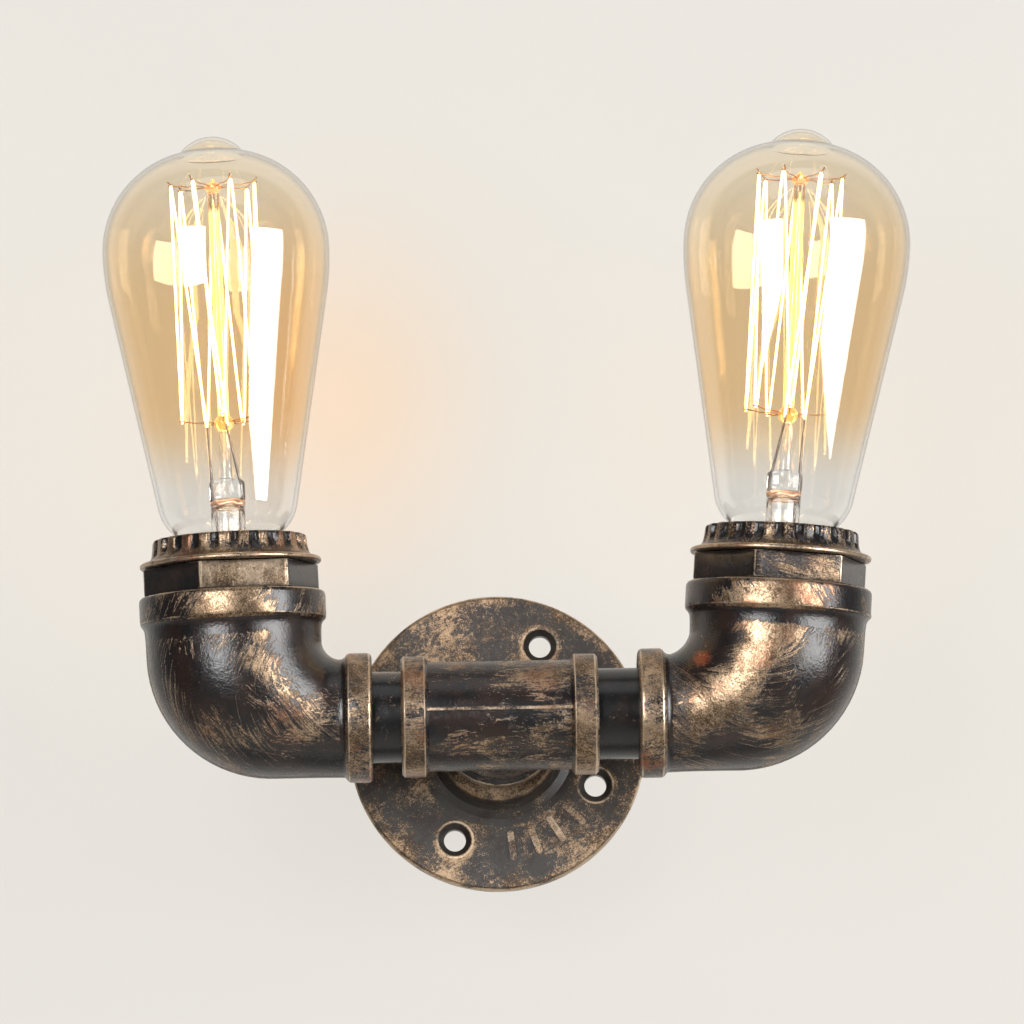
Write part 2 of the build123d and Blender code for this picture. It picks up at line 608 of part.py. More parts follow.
def build():
    """All the pieces by node name."""
    nodes = {
        "wall_flange": wall_flange(),
        "wall_pipe": wall_pipe(),
        "tee": tee(),
        "left_run_pipe": run_pipe(-1, LEFT_PIPE_SHOWN),
        "right_run_pipe": run_pipe(1, RIGHT_PIPE_SHOWN),
        "left_run_lead": run_lead(-1, LEFT_AXIS),
        "right_run_lead": run_lead(1, RIGHT_AXIS),
        "supply_lead": supply_lead(),
        "splice_caps": splice_caps(),
        "splice_cores": splice_cores(),
    }
    for word, side, axis_distance, splay in (("left", -1, LEFT_AXIS, LEFT_SPLAY),
                                             ("right", 1, RIGHT_AXIS, RIGHT_SPLAY)):
        for name, piece in arm_pieces(-side * HEX_TURN, splay).items():
            nodes[f"{word}_{name}"] = place_arm(piece, side, axis_distance)
    return nodes


def write(nodes):
    """One STEP file per node."""
    for name, shape in nodes.items():
        export_step(shape, f"parts/{name}.step")


if __name__ == "__main__":
    write(build())
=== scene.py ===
"""Looks of the twin-lamp pipe wall light: rubbed bronze over black paint on the castings, and two amber
filament bulbs. Metres, +Z up, the wall at Y = 0, the viewer at -Y.
"""
from math import atan2, cos, degrees, exp, hypot, pi, radians, sin, sqrt, tan

import bmesh
import bpy
from mathutils import Matrix, Vector


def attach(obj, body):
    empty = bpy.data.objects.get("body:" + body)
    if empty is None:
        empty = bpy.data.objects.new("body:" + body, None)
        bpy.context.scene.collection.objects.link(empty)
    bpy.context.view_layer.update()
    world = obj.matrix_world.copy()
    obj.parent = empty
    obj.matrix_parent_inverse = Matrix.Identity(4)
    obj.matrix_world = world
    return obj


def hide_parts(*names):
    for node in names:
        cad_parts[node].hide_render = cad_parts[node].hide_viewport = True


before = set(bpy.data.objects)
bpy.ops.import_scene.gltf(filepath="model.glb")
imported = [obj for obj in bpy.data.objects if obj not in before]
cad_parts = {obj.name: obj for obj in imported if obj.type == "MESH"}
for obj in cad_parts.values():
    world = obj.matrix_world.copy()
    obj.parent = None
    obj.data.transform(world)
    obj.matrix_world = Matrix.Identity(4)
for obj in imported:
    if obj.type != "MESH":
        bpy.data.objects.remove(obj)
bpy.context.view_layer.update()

MM = 0.001

# ---- sizes shared with the solids, in mm
STANDOFF = 60.5
LAMP_LEAN = 3.8
AXIS = {"left": 73.95, "right": 77.25}
SPLAY = {"left": 1.9, "right": 4.2}

ELBOW_REACH = 38.0
ELBOW_TOP = 35.6
ELBOW_MOUTH = 24.7
ELBOW_BAND = 26.4
ELBOW_NECK = 16.6
ELBOW_NECK_BAND = 18.3
ELBOW_WALL = 3.4
ELBOW_HEEL_RADIUS = 34.5
ELBOW_THROAT_RADIUS = 4.0
ELBOW_BORE = 20.85
HEX_TURN = 10.7
SCREW_CIRCLE = 62.0
FIRST_HOLE_ANGLE = -24.5
PIPE_BORE = 12.95

BULB_OD = 64.6
BULB_TOP = 166.7
TIP_RADIUS = 11.5
TIP_ROOT = 2.0
DOME_OFFSET = 3.4
WIDEST = 133.8
FLANK_RADIUS = 75.0
GLASS_TAPER = 10.7
HEEL_TOP = 60.5
HEEL_RADIUS = 13.0
HEEL_LIP = 58.0
GLASS_NECK = 25.8
CAP_MOUTH = 43.0
GLASS_WALL = 0.9
STEM_OD = 9.7
PRESS_LOW = 60.9
PRESS_TOP = 68.1
TOP_HUB = 152.2
BOTTOM_HUB = 84.4
UPPER_HOOKS = 7
FIRST_HOOK_ANGLE = 244.0
FILAMENT_CIRCLE = 24.4


# ---- making meshes
def arm_place(side):
    """From an arm's own frame (mm, +X to the tee, +Z up the lamp) to the light's frame in metres."""
    sign = -1 if side == "left" else 1
    mirrored = Matrix.Diagonal((-sign, 1, 1, 1))
    return (Matrix.Translation((sign * AXIS[side] * MM, -STANDOFF * MM, 0))
            @ Matrix.Rotation(radians(LAMP_LEAN), 4, "X") @ mirrored @ Matrix.Scale(MM, 4))


def lamp_place(side):
    """From the lamp's axis, upright in mm, to the light's frame: the arm's place with the lamp's splay."""
    return arm_place(side) @ Matrix.Rotation(radians(-SPLAY[side]), 4, "Y")


def placed(name, data):
    """A new object at the origin for a mesh, curve, lamp or camera."""
    piece = bpy.data.objects.new(name, data)
    bpy.context.scene.collection.objects.link(piece)
    return piece


def hung(side, name, data, material, body, replaced=None):
    """Gives a side's piece its finish and hangs it on its body in the place of a plain solid."""
    data.materials.append(material)
    piece = placed(f"{side}_{name}", data)
    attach(piece, f"{side}_{body}")
    if replaced:
        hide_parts(f"{side}_{replaced}")
    return piece


def finished(bm, side, name, place, material, body, replaced, crease=40):
    """Puts a bmesh drawn in mm in its place and hangs it up; edges sharper than the crease show."""
    bm.transform(place)
    for edge in bm.edges:
        edge.smooth = len(edge.link_faces) == 2 and edge.calc_face_angle(0) < radians(crease)
    if place.determinant() < 0:
        bmesh.ops.reverse_faces(bm, faces=bm.faces)
    mesh = bpy.data.meshes.new(f"{side}_{name}")
    bm.to_mesh(mesh)
    bm.free()
    for polygon in mesh.polygons:
        polygon.use_smooth = True
    return hung(side, name, mesh, material, body, replaced)


def trace_arc(bm, vert, centre, degrees_round, steps):
    """Draws an arc in the XZ plane from a vertex round a centre; positive turns from +Z towards +X."""
    made = bmesh.ops.spin(bm, geom=[vert], cent=(centre[0], 0, centre[1]), axis=(0, 1, 0),
                          angle=radians(degrees_round), steps=steps)
    return next(item for item in made["geom_last"] if isinstance(item, bmesh.types.BMVert))


def trace_to(bm, vert, radius, height):
    """Draws a straight run in the XZ plane from a vertex to a radius and height."""
    made = bmesh.ops.extrude_vert_indiv(bm, verts=[vert])["verts"][0]
    made.co = (radius, 0, height)
    return made


def spun(bm, steps):
    """Turns every edge drawn so far once round Z and closes the seam and the poles."""
    bmesh.ops.spin(bm, geom=bm.verts[:] + bm.edges[:], cent=(0, 0, 0), axis=(0, 0, 1), angle=2 * pi,
                   steps=steps, use_merge=True)
    bmesh.ops.remove_doubles(bm, verts=bm.verts, dist=1e-4)
    loose = [edge for edge in bm.edges if not edge.link_faces]
    bmesh.ops.delete(bm, geom=loose, context="EDGES")
    bmesh.ops.recalc_face_normals(bm, faces=bm.faces)


# ---- shader helpers
class Signal:
    """What a shader node puts out, with its tree. Sums and products of it place the next nodes."""

    def __init__(self, tree, socket):
        self.tree, self.socket = tree, socket

    def __getitem__(self, name):
        return Signal(self.tree, self.socket.node.outputs[name])

    def to(self, operation, *others):
        return math(self.tree, operation, self, *others)

    def __add__(self, other):
        return math(self.tree, "ADD", self, other)

    def __sub__(self, other):
        return math(self.tree, "SUBTRACT", self, other)

    def __rsub__(self, other):
        return math(self.tree, "SUBTRACT", other, self)

    def __mul__(self, other):
        return math(self.tree, "MULTIPLY", self, other)

    def __truediv__(self, other):
        return math(self.tree, "DIVIDE", self, other)

    __radd__, __rmul__ = __add__, __mul__


def add(tree, kind, *values, out=0, settings=None, **named):
    """Places a shader node. Values fill its inputs in order and named ones by name; returns one output."""
    node = tree.nodes.new("ShaderNode" + kind)
    for key, value in (settings or {}).items():
        setattr(node, key, value)
    pairs = [(node.inputs[i], value) for i, value in enumerate(values) if value is not None]
    pairs += [(node.inputs[key.replace("_", " ")], value) for key, value in named.items()]
    for socket, value in pairs:
        if isinstance(value, Signal):
            tree.links.new(value.socket, socket)
        else:
            socket.default_value = (*value, 1.0) if socket.type == "RGBA" else value
    return Signal(tree, node.outputs[out]) if node.outputs else None


def math(tree, operation, *values):
    return add(tree, "Math", *values, settings={"operation": operation})


def highest(first, *others):
    for other in others:
        first = first.to("MAXIMUM", other)
    return first


def ranged(value, low, high, to_low=0.0, to_high=1.0):
    """Smooth step of a value from low..high to to_low..to_high."""
    return add(value.tree, "MapRange", value, low, high, to_low, to_high,
               settings={"interpolation_type": "SMOOTHSTEP"})


def within(value, low, high, border):
    """1 where a value lies between two limits, with soft borders."""
    return (ranged(value, low - border, low + border)
            * ranged(value, high - border, high + border, 1.0, 0.0))


def mixed(amount, first, second):
    """Mixes two colours."""
    tree = next(value.tree for value in (amount, first, second) if isinstance(value, Signal))
    return add(tree, "Mix", amount, *[None] * 5, first, second, out=2, settings={"data_type": "RGBA"})


def noise(vector, scale, detail=2.0, roughness=0.5, distortion=0.0):
    """Cloudy marks round a half; the scale is how many to the metre."""
    return add(vector.tree, "TexNoise", Vector=vector, Scale=scale, Detail=detail, Roughness=roughness,
               Distortion=distortion, out="Fac")


def axes(vector):
    """X, Y and Z of a place."""
    split = add(vector.tree, "SeparateXYZ", vector)
    return split["X"], split["Y"], split["Z"]


def reach_of(x, z):
    """Distance from the origin in X and Z."""
    return add(x.tree, "VectorMath", add(x.tree, "CombineXYZ", x, 0.0, z), out="Value",
               settings={"operation": "LENGTH"})


def patches(x, z, spots):
    """Sums soft oval patches; each has its middle in X and Z, its half width and height, and a strength."""
    total = 0.0
    for middle_x, middle_z, wide, high, strength in spots:
        across, up = (x - middle_x) / wide, (z - middle_z) / high
        total += ((across * across + up * up) * -1.0).to("EXPONENT") * strength
    return total


def stretched(place, up):
    """Scales a pattern's height: below 1 its marks run upright, above 1 level."""
    return add(place.tree, "Mapping", place, None, None, (1, 1, up))


def bumped(height, depth):
    return add(height.tree, "Bump", Strength=1.0, Distance=depth, Height=height)


def shade(tint, share):
    return tuple(share * part for part in tint)


def group(name, **inputs):
    """Starts a node group with named inputs and their usual values; three numbers make a vector."""
    tree = bpy.data.node_groups.new(name, "ShaderNodeTree")
    for label, value in inputs.items():
        kind = "Vector" if isinstance(value, tuple) else "Float"
        socket = tree.interface.new_socket(name=label, in_out="INPUT", socket_type="NodeSocket" + kind)
        socket.default_value = value
    return tree, Signal(tree, tree.nodes.new("NodeGroupInput").outputs[0])


def puts_out(tree, label, value):
    """Ends a node group with its one output."""
    tree.interface.new_socket(name=label, in_out="OUTPUT", socket_type="NodeSocketFloat")
    tree.links.new(value.socket, tree.nodes.new("NodeGroupOutput").inputs[label])
    return tree


def use(tree, effect, **named):
    """Places a node group in a material with its own values."""
    return add(tree, "Group", settings={"node_tree": effect}, **named)


# ---- effects shared by the finishes
def weighted(*pairs):
    """Adds up values that vary round a half, each less its half and times its weight."""
    return sum((value - 0.5) * weight for value, weight in pairs)


def cut_off(value, cover, softness):
    """Keeps the share of a value round nothing that cover asks for, with soft borders."""
    return ranged(value + (cover - 0.5) * 0.8, softness * -1.0, softness)


def make_brush_marks():
    """Dry-brush strokes: long fine streaks, dense in large uneven patches and sparse between them."""
    tree, given = group("brush_marks", Vector=(0, 0, 0), Turn=(0, 0, 0), Fineness=2400.0, Length=0.1,
                        Patch=60.0, Cover=0.5, Softness=0.14)
    place, fineness = given["Vector"], given["Fineness"]
    turned = add(tree, "VectorRotate", place, Rotation=given["Turn"], settings={"rotation_type": "EULER_XYZ"})
    squeeze = add(tree, "CombineXYZ", given["Length"], 1.0, 1.0)
    along = add(tree, "VectorMath", turned, squeeze, settings={"operation": "MULTIPLY"})
    fine = noise(along, fineness, 3.0, 0.7)
    hairs = noise(along, fineness * 0.25, 2.0, 0.6, 0.4)
    grain = noise(turned, fineness * 0.6, 3.0, 0.75)
    patch = noise(place, given["Patch"], 2.0, 0.5, 0.2)
    total = weighted((fine, 1.0), (hairs, 0.85), (grain, 0.65), (patch, 1.4))
    return puts_out(tree, "Mask", cut_off(total, given["Cover"], given["Softness"]))


def make_speckle():
    """Small worn flecks that crowd together in patches."""
    tree, given = group("speckle", Vector=(0, 0, 0), Size=1900.0, Patch=110.0, Cover=0.5, Softness=0.08)
    place, size = given["Vector"], given["Size"]
    total = weighted((noise(place, size, 3.0, 0.75), 1.1), (noise(place, size * 0.25, 2.0, 0.6), 0.7),
                     (noise(place, given["Patch"], 3.0, 0.55), 1.0))
    return puts_out(tree, "Mask", cut_off(total, given["Cover"], given["Softness"]))


def make_worn_edge():
    """Outer edges where paint is rubbed off, broken up along their length."""
    tree, given = group("worn_edge", Vector=(0, 0, 0), Width=0.0009, Amount=1.0)
    inside = add(tree, "AmbientOcclusion", Distance=given["Width"], out="AO",
                 settings={"inside": True, "samples": 6})
    worn = 1.0 - inside + (noise(given["Vector"], 900.0, 4.0, 0.7) - 0.5) * 0.7
    return puts_out(tree, "Mask", ranged(worn, 0.5, 0.85) * given["Amount"])


def make_grime():
    """Inner corners where black paint stays."""
    tree, given = group("grime", Reach=0.003)
    open_air = add(tree, "AmbientOcclusion", Distance=given["Reach"], out="AO", settings={"samples": 6})
    return puts_out(tree, "Mask", ranged(open_air, 0.35, 0.8, 1.0, 0.0))


def make_cast_skin():
    """Pebbled surface of a sand casting under thick paint, as a height."""
    tree, given = group("cast_skin", Vector=(0, 0, 0), Grain=700.0)
    place, grain = given["Vector"], given["Grain"]
    height = noise(place, grain, 3.0, 0.55) * 0.4 + noise(place, grain * 0.2)
    return puts_out(tree, "Height", height)


BRUSH_MARKS = make_brush_marks()
SPECKLE = make_speckle()
WORN_EDGE = make_worn_edge()
GRIME = make_grime()
CAST_SKIN = make_cast_skin()
BRUSH_FINENESS = 2400.0
BRUSH_LENGTH = 0.16

BLACK_PAINT = (0.0042, 0.0042, 0.0048)
BROWN_GLAZE = (0.015, 0.008, 0.006)
DARK_BRONZE = (0.078, 0.050, 0.030)
RUBBED_BRONZE = (0.38, 0.268, 0.172)
PALE_BRONZE = (0.66, 0.52, 0.38)
COPPER = (0.26, 0.105, 0.06)
GREY_BROWN = (0.024, 0.021, 0.018)
RED_LEAD = (0.13, 0.024, 0.009)


# ---- finishes
def new_material(name):
    """A bare material, its tree and the places on the piece, in metres."""
    material = bpy.data.materials.new(name)
    material.use_nodes = True
    tree = material.node_tree
    tree.nodes.clear()
    return material, tree, add(tree, "TexCoord", out="Object")


def put_on(tree, **named):
    """The material's own shader with its values."""
    add(tree, "OutputMaterial", add(tree, "BsdfPrincipled", **named))


def on_flow(tree):
    """The piece's own map, with the slant's plane laid in X and Z as on the solids."""
    along, around, _ = axes(add(tree, "UVMap", settings={"uv_map": "flow"}))
    return add(tree, "CombineXYZ", along, 0.0, around)


def own_tone(place):
    """How much barer or blacker than the rest the piece was made here."""
    return add(place.tree, "Attribute", out="Fac", settings={"attribute_name": "bare"})


def own_edges(place):
    """Edges that the piece was made with."""
    return add(place.tree, "Attribute", out="Fac", settings={"attribute_name": "rubbed"})


def primer_patch(place, centre):
    """A small ragged patch on the front, round a place in X and Z."""
    x, y, z = axes(place)
    ragged = reach_of(x - centre[0], z - centre[1]) + noise(place, 900.0, 3.0, 0.7) * 0.003
    return ranged(ragged, 0.0022, 0.0048, 1.0, 0.0) * ranged(y, -0.072, -0.068, 0.85, 0.0)


def rubbed_bronze(name, *strokes, flow=True, more=own_tone, lines=own_edges, paint=BLACK_PAINT, patch=60.0,
                  softness=0.085, flecks=0.2, fleck_size=1900.0, edges=1.0, glaze=0.45, copper=0.3,
                  polish=0.17, depth=0.00012, shift=(0, 0, 0), blush=None):
    """Black paint with bronze dry-brushed over it, worn bright on the edges and black in the corners.
    Each layer of strokes is a slant in degrees, from level or from the piece's own flow, a share covered,
    and how much finer than usual it is. More is a mask that adds to the cover, lines one of worn edges,
    and blush a place in X and Z where red primer shows."""
    material, tree, made = new_material(name)
    extra = more(made) if more else 0.0
    place = add(tree, "Mapping", made, shift)
    brushed = on_flow(tree) if flow else place
    marks = use(tree, SPECKLE, Vector=place, Size=fleck_size, Cover=flecks + extra * 0.7)
    for number, (slant, cover, finer) in enumerate(strokes):
        moved = add(tree, "Mapping", brushed, (0.21 * number, 0.13 * number, 0.17 * number))
        layer = use(tree, BRUSH_MARKS, Vector=moved, Turn=(0, radians(slant), 0), Patch=patch,
                    Fineness=BRUSH_FINENESS * finer, Length=BRUSH_LENGTH / finer ** 2,
                    Cover=cover + extra, Softness=softness)
        marks = highest(marks, layer)
    film = use(tree, BRUSH_MARKS, Vector=brushed, Turn=(0, radians(strokes[0][0]), 0), Patch=patch * 1.5,
               Fineness=BRUSH_FINENESS * 0.35, Length=BRUSH_LENGTH * 2, Cover=glaze, Softness=0.3)
    edge = use(tree, WORN_EDGE, Vector=place, Amount=edges)
    if lines:
        drawn = lines(made) * weighted((noise(place, 1100.0, 3.0, 0.7), 1.6),
                                       (noise(place, 160.0), 2.2), (1.5, 1.0))
        edge = highest(edge, ranged(drawn, 0.35, 0.9))
    clean = 1.0 - use(tree, GRIME)
    bronze = highest(marks, edge) * clean
    tone = weighted((noise(place, 2300.0, 2.0, 0.7), 1.2), (noise(place, 520.0, 3.0, 0.7), 0.7),
                    (noise(place, 90.0), 0.9))
    metal = mixed(ranged(tone, -0.22, 0.26), DARK_BRONZE, RUBBED_BRONZE)
    metal = mixed(edge * 0.6, metal, PALE_BRONZE)
    reddish = noise(add(tree, "Mapping", place, (0.4, 0.2, 0.1)), 75.0)
    metal = mixed(ranged(reddish, 0.52, 0.66, 0.0, copper), metal, COPPER)
    base = mixed(film * clean, paint, BROWN_GLAZE)
    if blush:
        base = mixed(primer_patch(made, blush), base, RED_LEAD)
    height = (use(tree, CAST_SKIN, Vector=place, Grain=520.0) + noise(place, 1500.0, 2.0, 0.6) * 0.55
              + bronze * 0.26)
    put_on(tree, Base_Color=mixed(bronze, base, metal), Metallic=bronze * 0.92, Normal=bumped(height, depth),
           Roughness=polish + noise(place, 420.0, 3.0, 0.6) * 0.16 + bronze * 0.08)
    return material


def plain_metal(name, tint, darker, roughness):
    """A bare metal with soft tarnish and fine scratches."""
    material, tree, place = new_material(name)
    tarnish = ranged(noise(place, 600.0, 4.0, 0.6), 0.35, 0.7)
    scratches = noise(stretched(place, 12), 1800.0, 3.0, 0.6)
    put_on(tree, Base_Color=mixed(tarnish, tint, darker), Metallic=1.0, Roughness=roughness + tarnish * 0.18,
           Normal=bumped(scratches, 0.00002))
    return material


def porcelain():
    """White glazed porcelain, faintly mottled."""
    material, tree, place = new_material("glazed_porcelain")
    mottle = noise(place, 260.0, 3.0)
    base = mixed(ranged(mottle, 0.3, 0.7), (0.82, 0.80, 0.75), (0.72, 0.69, 0.63))
    put_on(tree, Base_Color=base, Roughness=0.18, Coat_Weight=0.4, Normal=bumped(mottle, 0.00005))
    return material


def insulation(name, tint, roughness=0.45):
    """Plastic sleeve or black glass, slightly uneven."""
    material, tree, place = new_material(name)
    uneven = noise(place, 800.0, 3.0)
    put_on(tree, Base_Color=mixed(uneven, tint, shade(tint, 0.7)), Roughness=roughness,
           Normal=bumped(uneven, 0.00004))
    return material


def see_through(tree, share, shader, tint=(1, 1, 1)):
    """Puts a shader on with a share of plain see-through tint in it."""
    clear = add(tree, "BsdfTransparent", tint)
    add(tree, "OutputMaterial", add(tree, "MixShader", share, shader, clear))


def glass(tree, tint, **named):
    """Solid glass that lets the lamps shine through: for shadow rays it is a plain tint."""
    shader = add(tree, "BsdfPrincipled", Base_Color=tint, Metallic=0.0, Transmission_Weight=1.0, **named)
    see_through(tree, add(tree, "LightPath", out="Is Shadow Ray"), shader, tint)


def amber_glass():
    """Tinted envelope: amber from the dome to below the filament, fading to clear grey at the foot."""
    material, tree, place = new_material("amber_glass")
    cloud = noise(stretched(place, 0.4), 45.0, 3.0)
    height = axes(place)[2] + (cloud - 0.5) * 0.006
    amber = mixed(ranged(height, 0.118, 0.160), (0.95, 0.815, 0.62), (0.955, 0.905, 0.81))
    tint = mixed(ranged(height, 0.063, 0.088), (0.95, 0.962, 0.968), amber)
    # Painted shade: the glass is tinted dark towards its outline, where it is seen edge-on.
    rim = ranged(add(tree, "LayerWeight", 0.5, out="Facing"), 0.69, 0.9, 0.0, 0.9)
    glass(tree, mixed(rim, tint, (0.14, 0.145, 0.16)), Roughness=0.0, IOR=1.52)
    return material


def clear_glass():
    material, tree, place = new_material("clear_glass")
    streak = noise(stretched(place, 0.2), 900.0)
    tint = mixed(streak, (0.93, 0.93, 0.93), (0.97, 0.975, 0.98))
    glass(tree, tint, Roughness=0.02, IOR=1.5, Normal=bumped(streak, 0.00008))
    return material


def stem_glass():
    """Clear mount whose rod is painted glowing yellow, as lit by the filament round it, between two orange
    beads that are painted glowing too.
    """
    material, tree, place = new_material("stem_glass")
    height = axes(place)[2]
    past_rod = ranged(height, 0.1440, 0.1462)
    top_bead = ranged(height, 0.1500, 0.1506)
    rod = ranged(height, 0.0862, 0.0872) * (1.0 - past_rod)
    smoked = past_rod * (1.0 - top_bead)
    bead = highest(ranged(height, 0.0818, 0.0824) * ranged(height, 0.0862, 0.0868, 1.0, 0.0), top_bead)
    streak = noise(stretched(place, 0.2), 900.0)
    tint = mixed(streak, (0.94, 0.94, 0.94), (0.975, 0.98, 0.985))
    # Painted light: the rod's yellow tint and the glow of rod and beads stand for the filament's light on
    # them.
    tint = mixed(rod, tint, (1.0, 0.92, 0.62))
    tint = mixed(smoked, tint, (0.62, 0.53, 0.43))
    tint = mixed(bead, tint, (0.93, 0.62, 0.33))
    painted_glow = mixed(bead, mixed(rod, (0, 0, 0), (0.62, 0.46, 0.12)), (0.40, 0.17, 0.045))
    glass(tree, tint, Roughness=0.02, IOR=1.5, Emission_Color=painted_glow, Emission_Strength=1.0,
          Normal=bumped(streak, 0.00008))
    return material


def glowing_filament():
    """Carbon strand at full glow, a little uneven."""
    material, tree, place = new_material("glowing_filament")
    flicker = ranged(noise(place, 300.0), 0.3, 0.7)
    put_on(tree, Base_Color=(0.1, 0.07, 0.05), Roughness=0.6, Emission_Strength=9.0,
           Emission_Color=mixed(flicker, (1.0, 0.62, 0.24), (1.0, 0.74, 0.38)))
    return material


# Barer and blacker patches on the tee's front.
TEE_PATCHES = ((0.010, 0.009, 0.010, 0.004, 0.3), (0.006, -0.010, 0.014, 0.005, 0.08),
               (-0.012, -0.003, 0.012, 0.006, -0.3), (-0.014, 0.008, 0.008, 0.005, -0.15))


def tee_bands(place):
    """More bronze on the tee's three bands and its mould seam, and patches between them."""
    x, y, z = axes(place)
    across = x.to("ABSOLUTE")
    ends = ranged(across, 0.0205, 0.0213, 0.0, 0.29)
    branch = ranged(y, -0.0397, -0.0393, 0.0, 0.34)
    seam = ranged(y, -0.07635, -0.0761, 1.0, 0.0) * within(z, -0.0005, 0.0005, 0.0001) * 0.2
    between = 1.0 - ranged(across, 0.0200, 0.0208)
    return highest(ends, branch, seam) + patches(x, z, TEE_PATCHES) * between


def tee_edges(place):
    """Both edges of each band and the crest of the seam."""
    x, y, z = axes(place)
    across, back = x.to("ABSOLUTE"), y + STANDOFF * MM
    lines = [within(way, low, high, 0.0001) for way in (across, back)
             for low, high in ((0.0210, 0.0214), (0.0267, 0.0273))]
    crest = (ranged(y, -0.0763, -0.0762, 1.0, 0.0) * within(z, -0.0005, 0.0003, 0.0001)
             * ranged(across, 0.0203, 0.0206, 0.62, 0.0))
    return highest(*lines, crest)


def from_nearest_hole(x, z):
    """Distance from the nearest of the flange's four screw holes."""
    turned = add(x.tree, "VectorRotate", add(x.tree, "CombineXYZ", x, 0.0, z),
                 Angle=radians(FIRST_HOLE_ANGLE), settings={"rotation_type": "Y_AXIS"})
    across, _, up = (way.to("ABSOLUTE") for way in axes(turned))
    return reach_of(highest(across, up) - SCREW_CIRCLE / 2 * MM, across.to("MINIMUM", up))


def flange_parts(place):
    """What tells the flange's features apart: reach from its centre, depth, reach from a hole, and bars."""
    x, y, z = axes(place)
    reach = reach_of(x, z)
    bars = ranged(y, -0.00540, -0.00525, 1.0, 0.0) * ranged(reach, 0.024, 0.025)
    return reach, y, from_nearest_hole(x, z), bars


def flange_wear_and_shade(place):
    """Bronze crowds on the rim, round the holes, on the bars and the hub's lip; the hub's foot and the
    insides of the holes are painted darker as shade.
    """
    reach, y, hole, bars = flange_parts(place)
    rim = ranged(reach, 0.0385, 0.0425, 0.0, 0.26)
    lip = within(hole, 0.0047, 0.0064, 0.0004) * 0.34
    hub = ranged(y, -0.0122, -0.0100, 0.5, 0.0)
    # Painted shade round the foot of the hub and inside the screw holes.
    shaded_foot = within(reach, 0.0165, 0.0255, 0.003) * -0.14
    shaded_holes = ranged(hole, 0.0042, 0.0048, -0.7, 0.0)
    return highest(rim, lip, bars * 0.3, hub) + shaded_foot.to("MINIMUM", shaded_holes)


def flange_edges(place):
    """The rim, the lips of the holes and the bars."""
    reach, _, hole, bars = flange_parts(place)
    return highest(ranged(reach, 0.0424, 0.0428) * 0.8, within(hole, 0.0049, 0.0056, 0.0002) * 0.75,
                   bars * 0.5)


LEFT_ELBOW_FINISH = rubbed_bronze("left_elbow_finish", (24, 0.17, 1), (-6, 0.24, 1), (30, 0.12, 2),
                                  (40, 0.09, 2.6), flecks=0.02, depth=0.00017)
RIGHT_ELBOW_FINISH = rubbed_bronze("right_elbow_finish", (-30, 0.27, 1), (4, 0.22, 1), (-38, 0.2, 2),
                                   (-54, 0.15, 2.6), flecks=0.02, depth=0.00017, shift=(0.3, 0, 0.1),
                                   blush=(0.0568, 0.013))
BIG_BAND_FINISH = rubbed_bronze("big_band_finish", (30, 0.46, 1), (34, 0.3, 2), flecks=0.1, copper=0.5)
SMALL_BAND_FINISH = rubbed_bronze("small_band_finish", (20, 0.5, 1), more=None, flecks=0.42, softness=0.12,
                                  copper=0.9)
RING_FINISH = rubbed_bronze("ring_finish", (10, 0.4, 1), flecks=0.4, edges=0.3, copper=0.5)
HEX_FINISH = rubbed_bronze("hex_finish", (84, 0.36, 1), (78, 0.3, 2), flecks=0.22, edges=0.3)
TEE_FINISH = rubbed_bronze("tee_finish", (0, 0.2, 1), (8, 0.14, 1), flow=False, more=tee_bands,
                           lines=tee_edges, flecks=0.13, softness=0.1, copper=0.35)
FLANGE_FINISH = rubbed_bronze("flange_finish", (35, 0.1, 1), flow=False, more=flange_wear_and_shade,
                              lines=flange_edges, paint=GREY_BROWN, flecks=0.33, fleck_size=2900.0,
                              glaze=0.35, copper=0.0, patch=100.0, polish=0.3)
PIPE_FINISH = rubbed_bronze("pipe_finish", (60, 0.02, 1), flow=False, more=None, lines=None, flecks=0.03,
                            edges=0.4, glaze=0.1, depth=0.00003)
PORCELAIN = porcelain()
NICKEL = plain_metal("nickel", (0.72, 0.70, 0.66), (0.48, 0.46, 0.42), 0.22)
BRASS = plain_metal("brass", (0.80, 0.58, 0.27), (0.55, 0.36, 0.15), 0.25)
CAP_METAL = plain_metal("cap_metal", (0.80, 0.66, 0.42), (0.60, 0.46, 0.27), 0.24)
SOLDER = plain_metal("solder", (0.66, 0.66, 0.66), (0.42, 0.42, 0.43), 0.35)
CRIMP = plain_metal("crimp", (0.80, 0.43, 0.27), (0.55, 0.27, 0.16), 0.3)
LEAD_METAL = plain_metal("lead_metal", (0.22, 0.19, 0.17), (0.12, 0.10, 0.09), 0.35)
SEAL_COPPER = plain_metal("seal_copper", (0.85, 0.55, 0.38), (0.62, 0.34, 0.21), 0.4)
HOOK_METAL = plain_metal("hook_metal", (0.50, 0.30, 0.18), (0.30, 0.17, 0.10), 0.35)
BLACK_GLASS = insulation("black_glass", (0.012, 0.012, 0.014), 0.12)
SLEEVE = insulation("sleeve", (0.03, 0.03, 0.032))
CORE = insulation("core", (0.36, 0.10, 0.05))
AMBER_GLASS = amber_glass()
CLEAR_GLASS = clear_glass()
STEM_GLASS = stem_glass()
FILAMENT = glowing_filament()


# ---- bulbs
def circles_meet(first, first_radius, second, second_radius):
    """Where two circles in the (radius, height) plane meet, on the side away from the axis."""
    dx, dz = second[0] - first[0], second[1] - first[1]
    apart = hypot(dx, dz)
    along = (apart ** 2 + first_radius ** 2 - second_radius ** 2) / (2 * apart)
    across = sqrt(first_radius ** 2 - along ** 2)
    return (first[0] + (along * dx - across * dz) / apart, first[1] + (along * dz + across * dx) / apart)


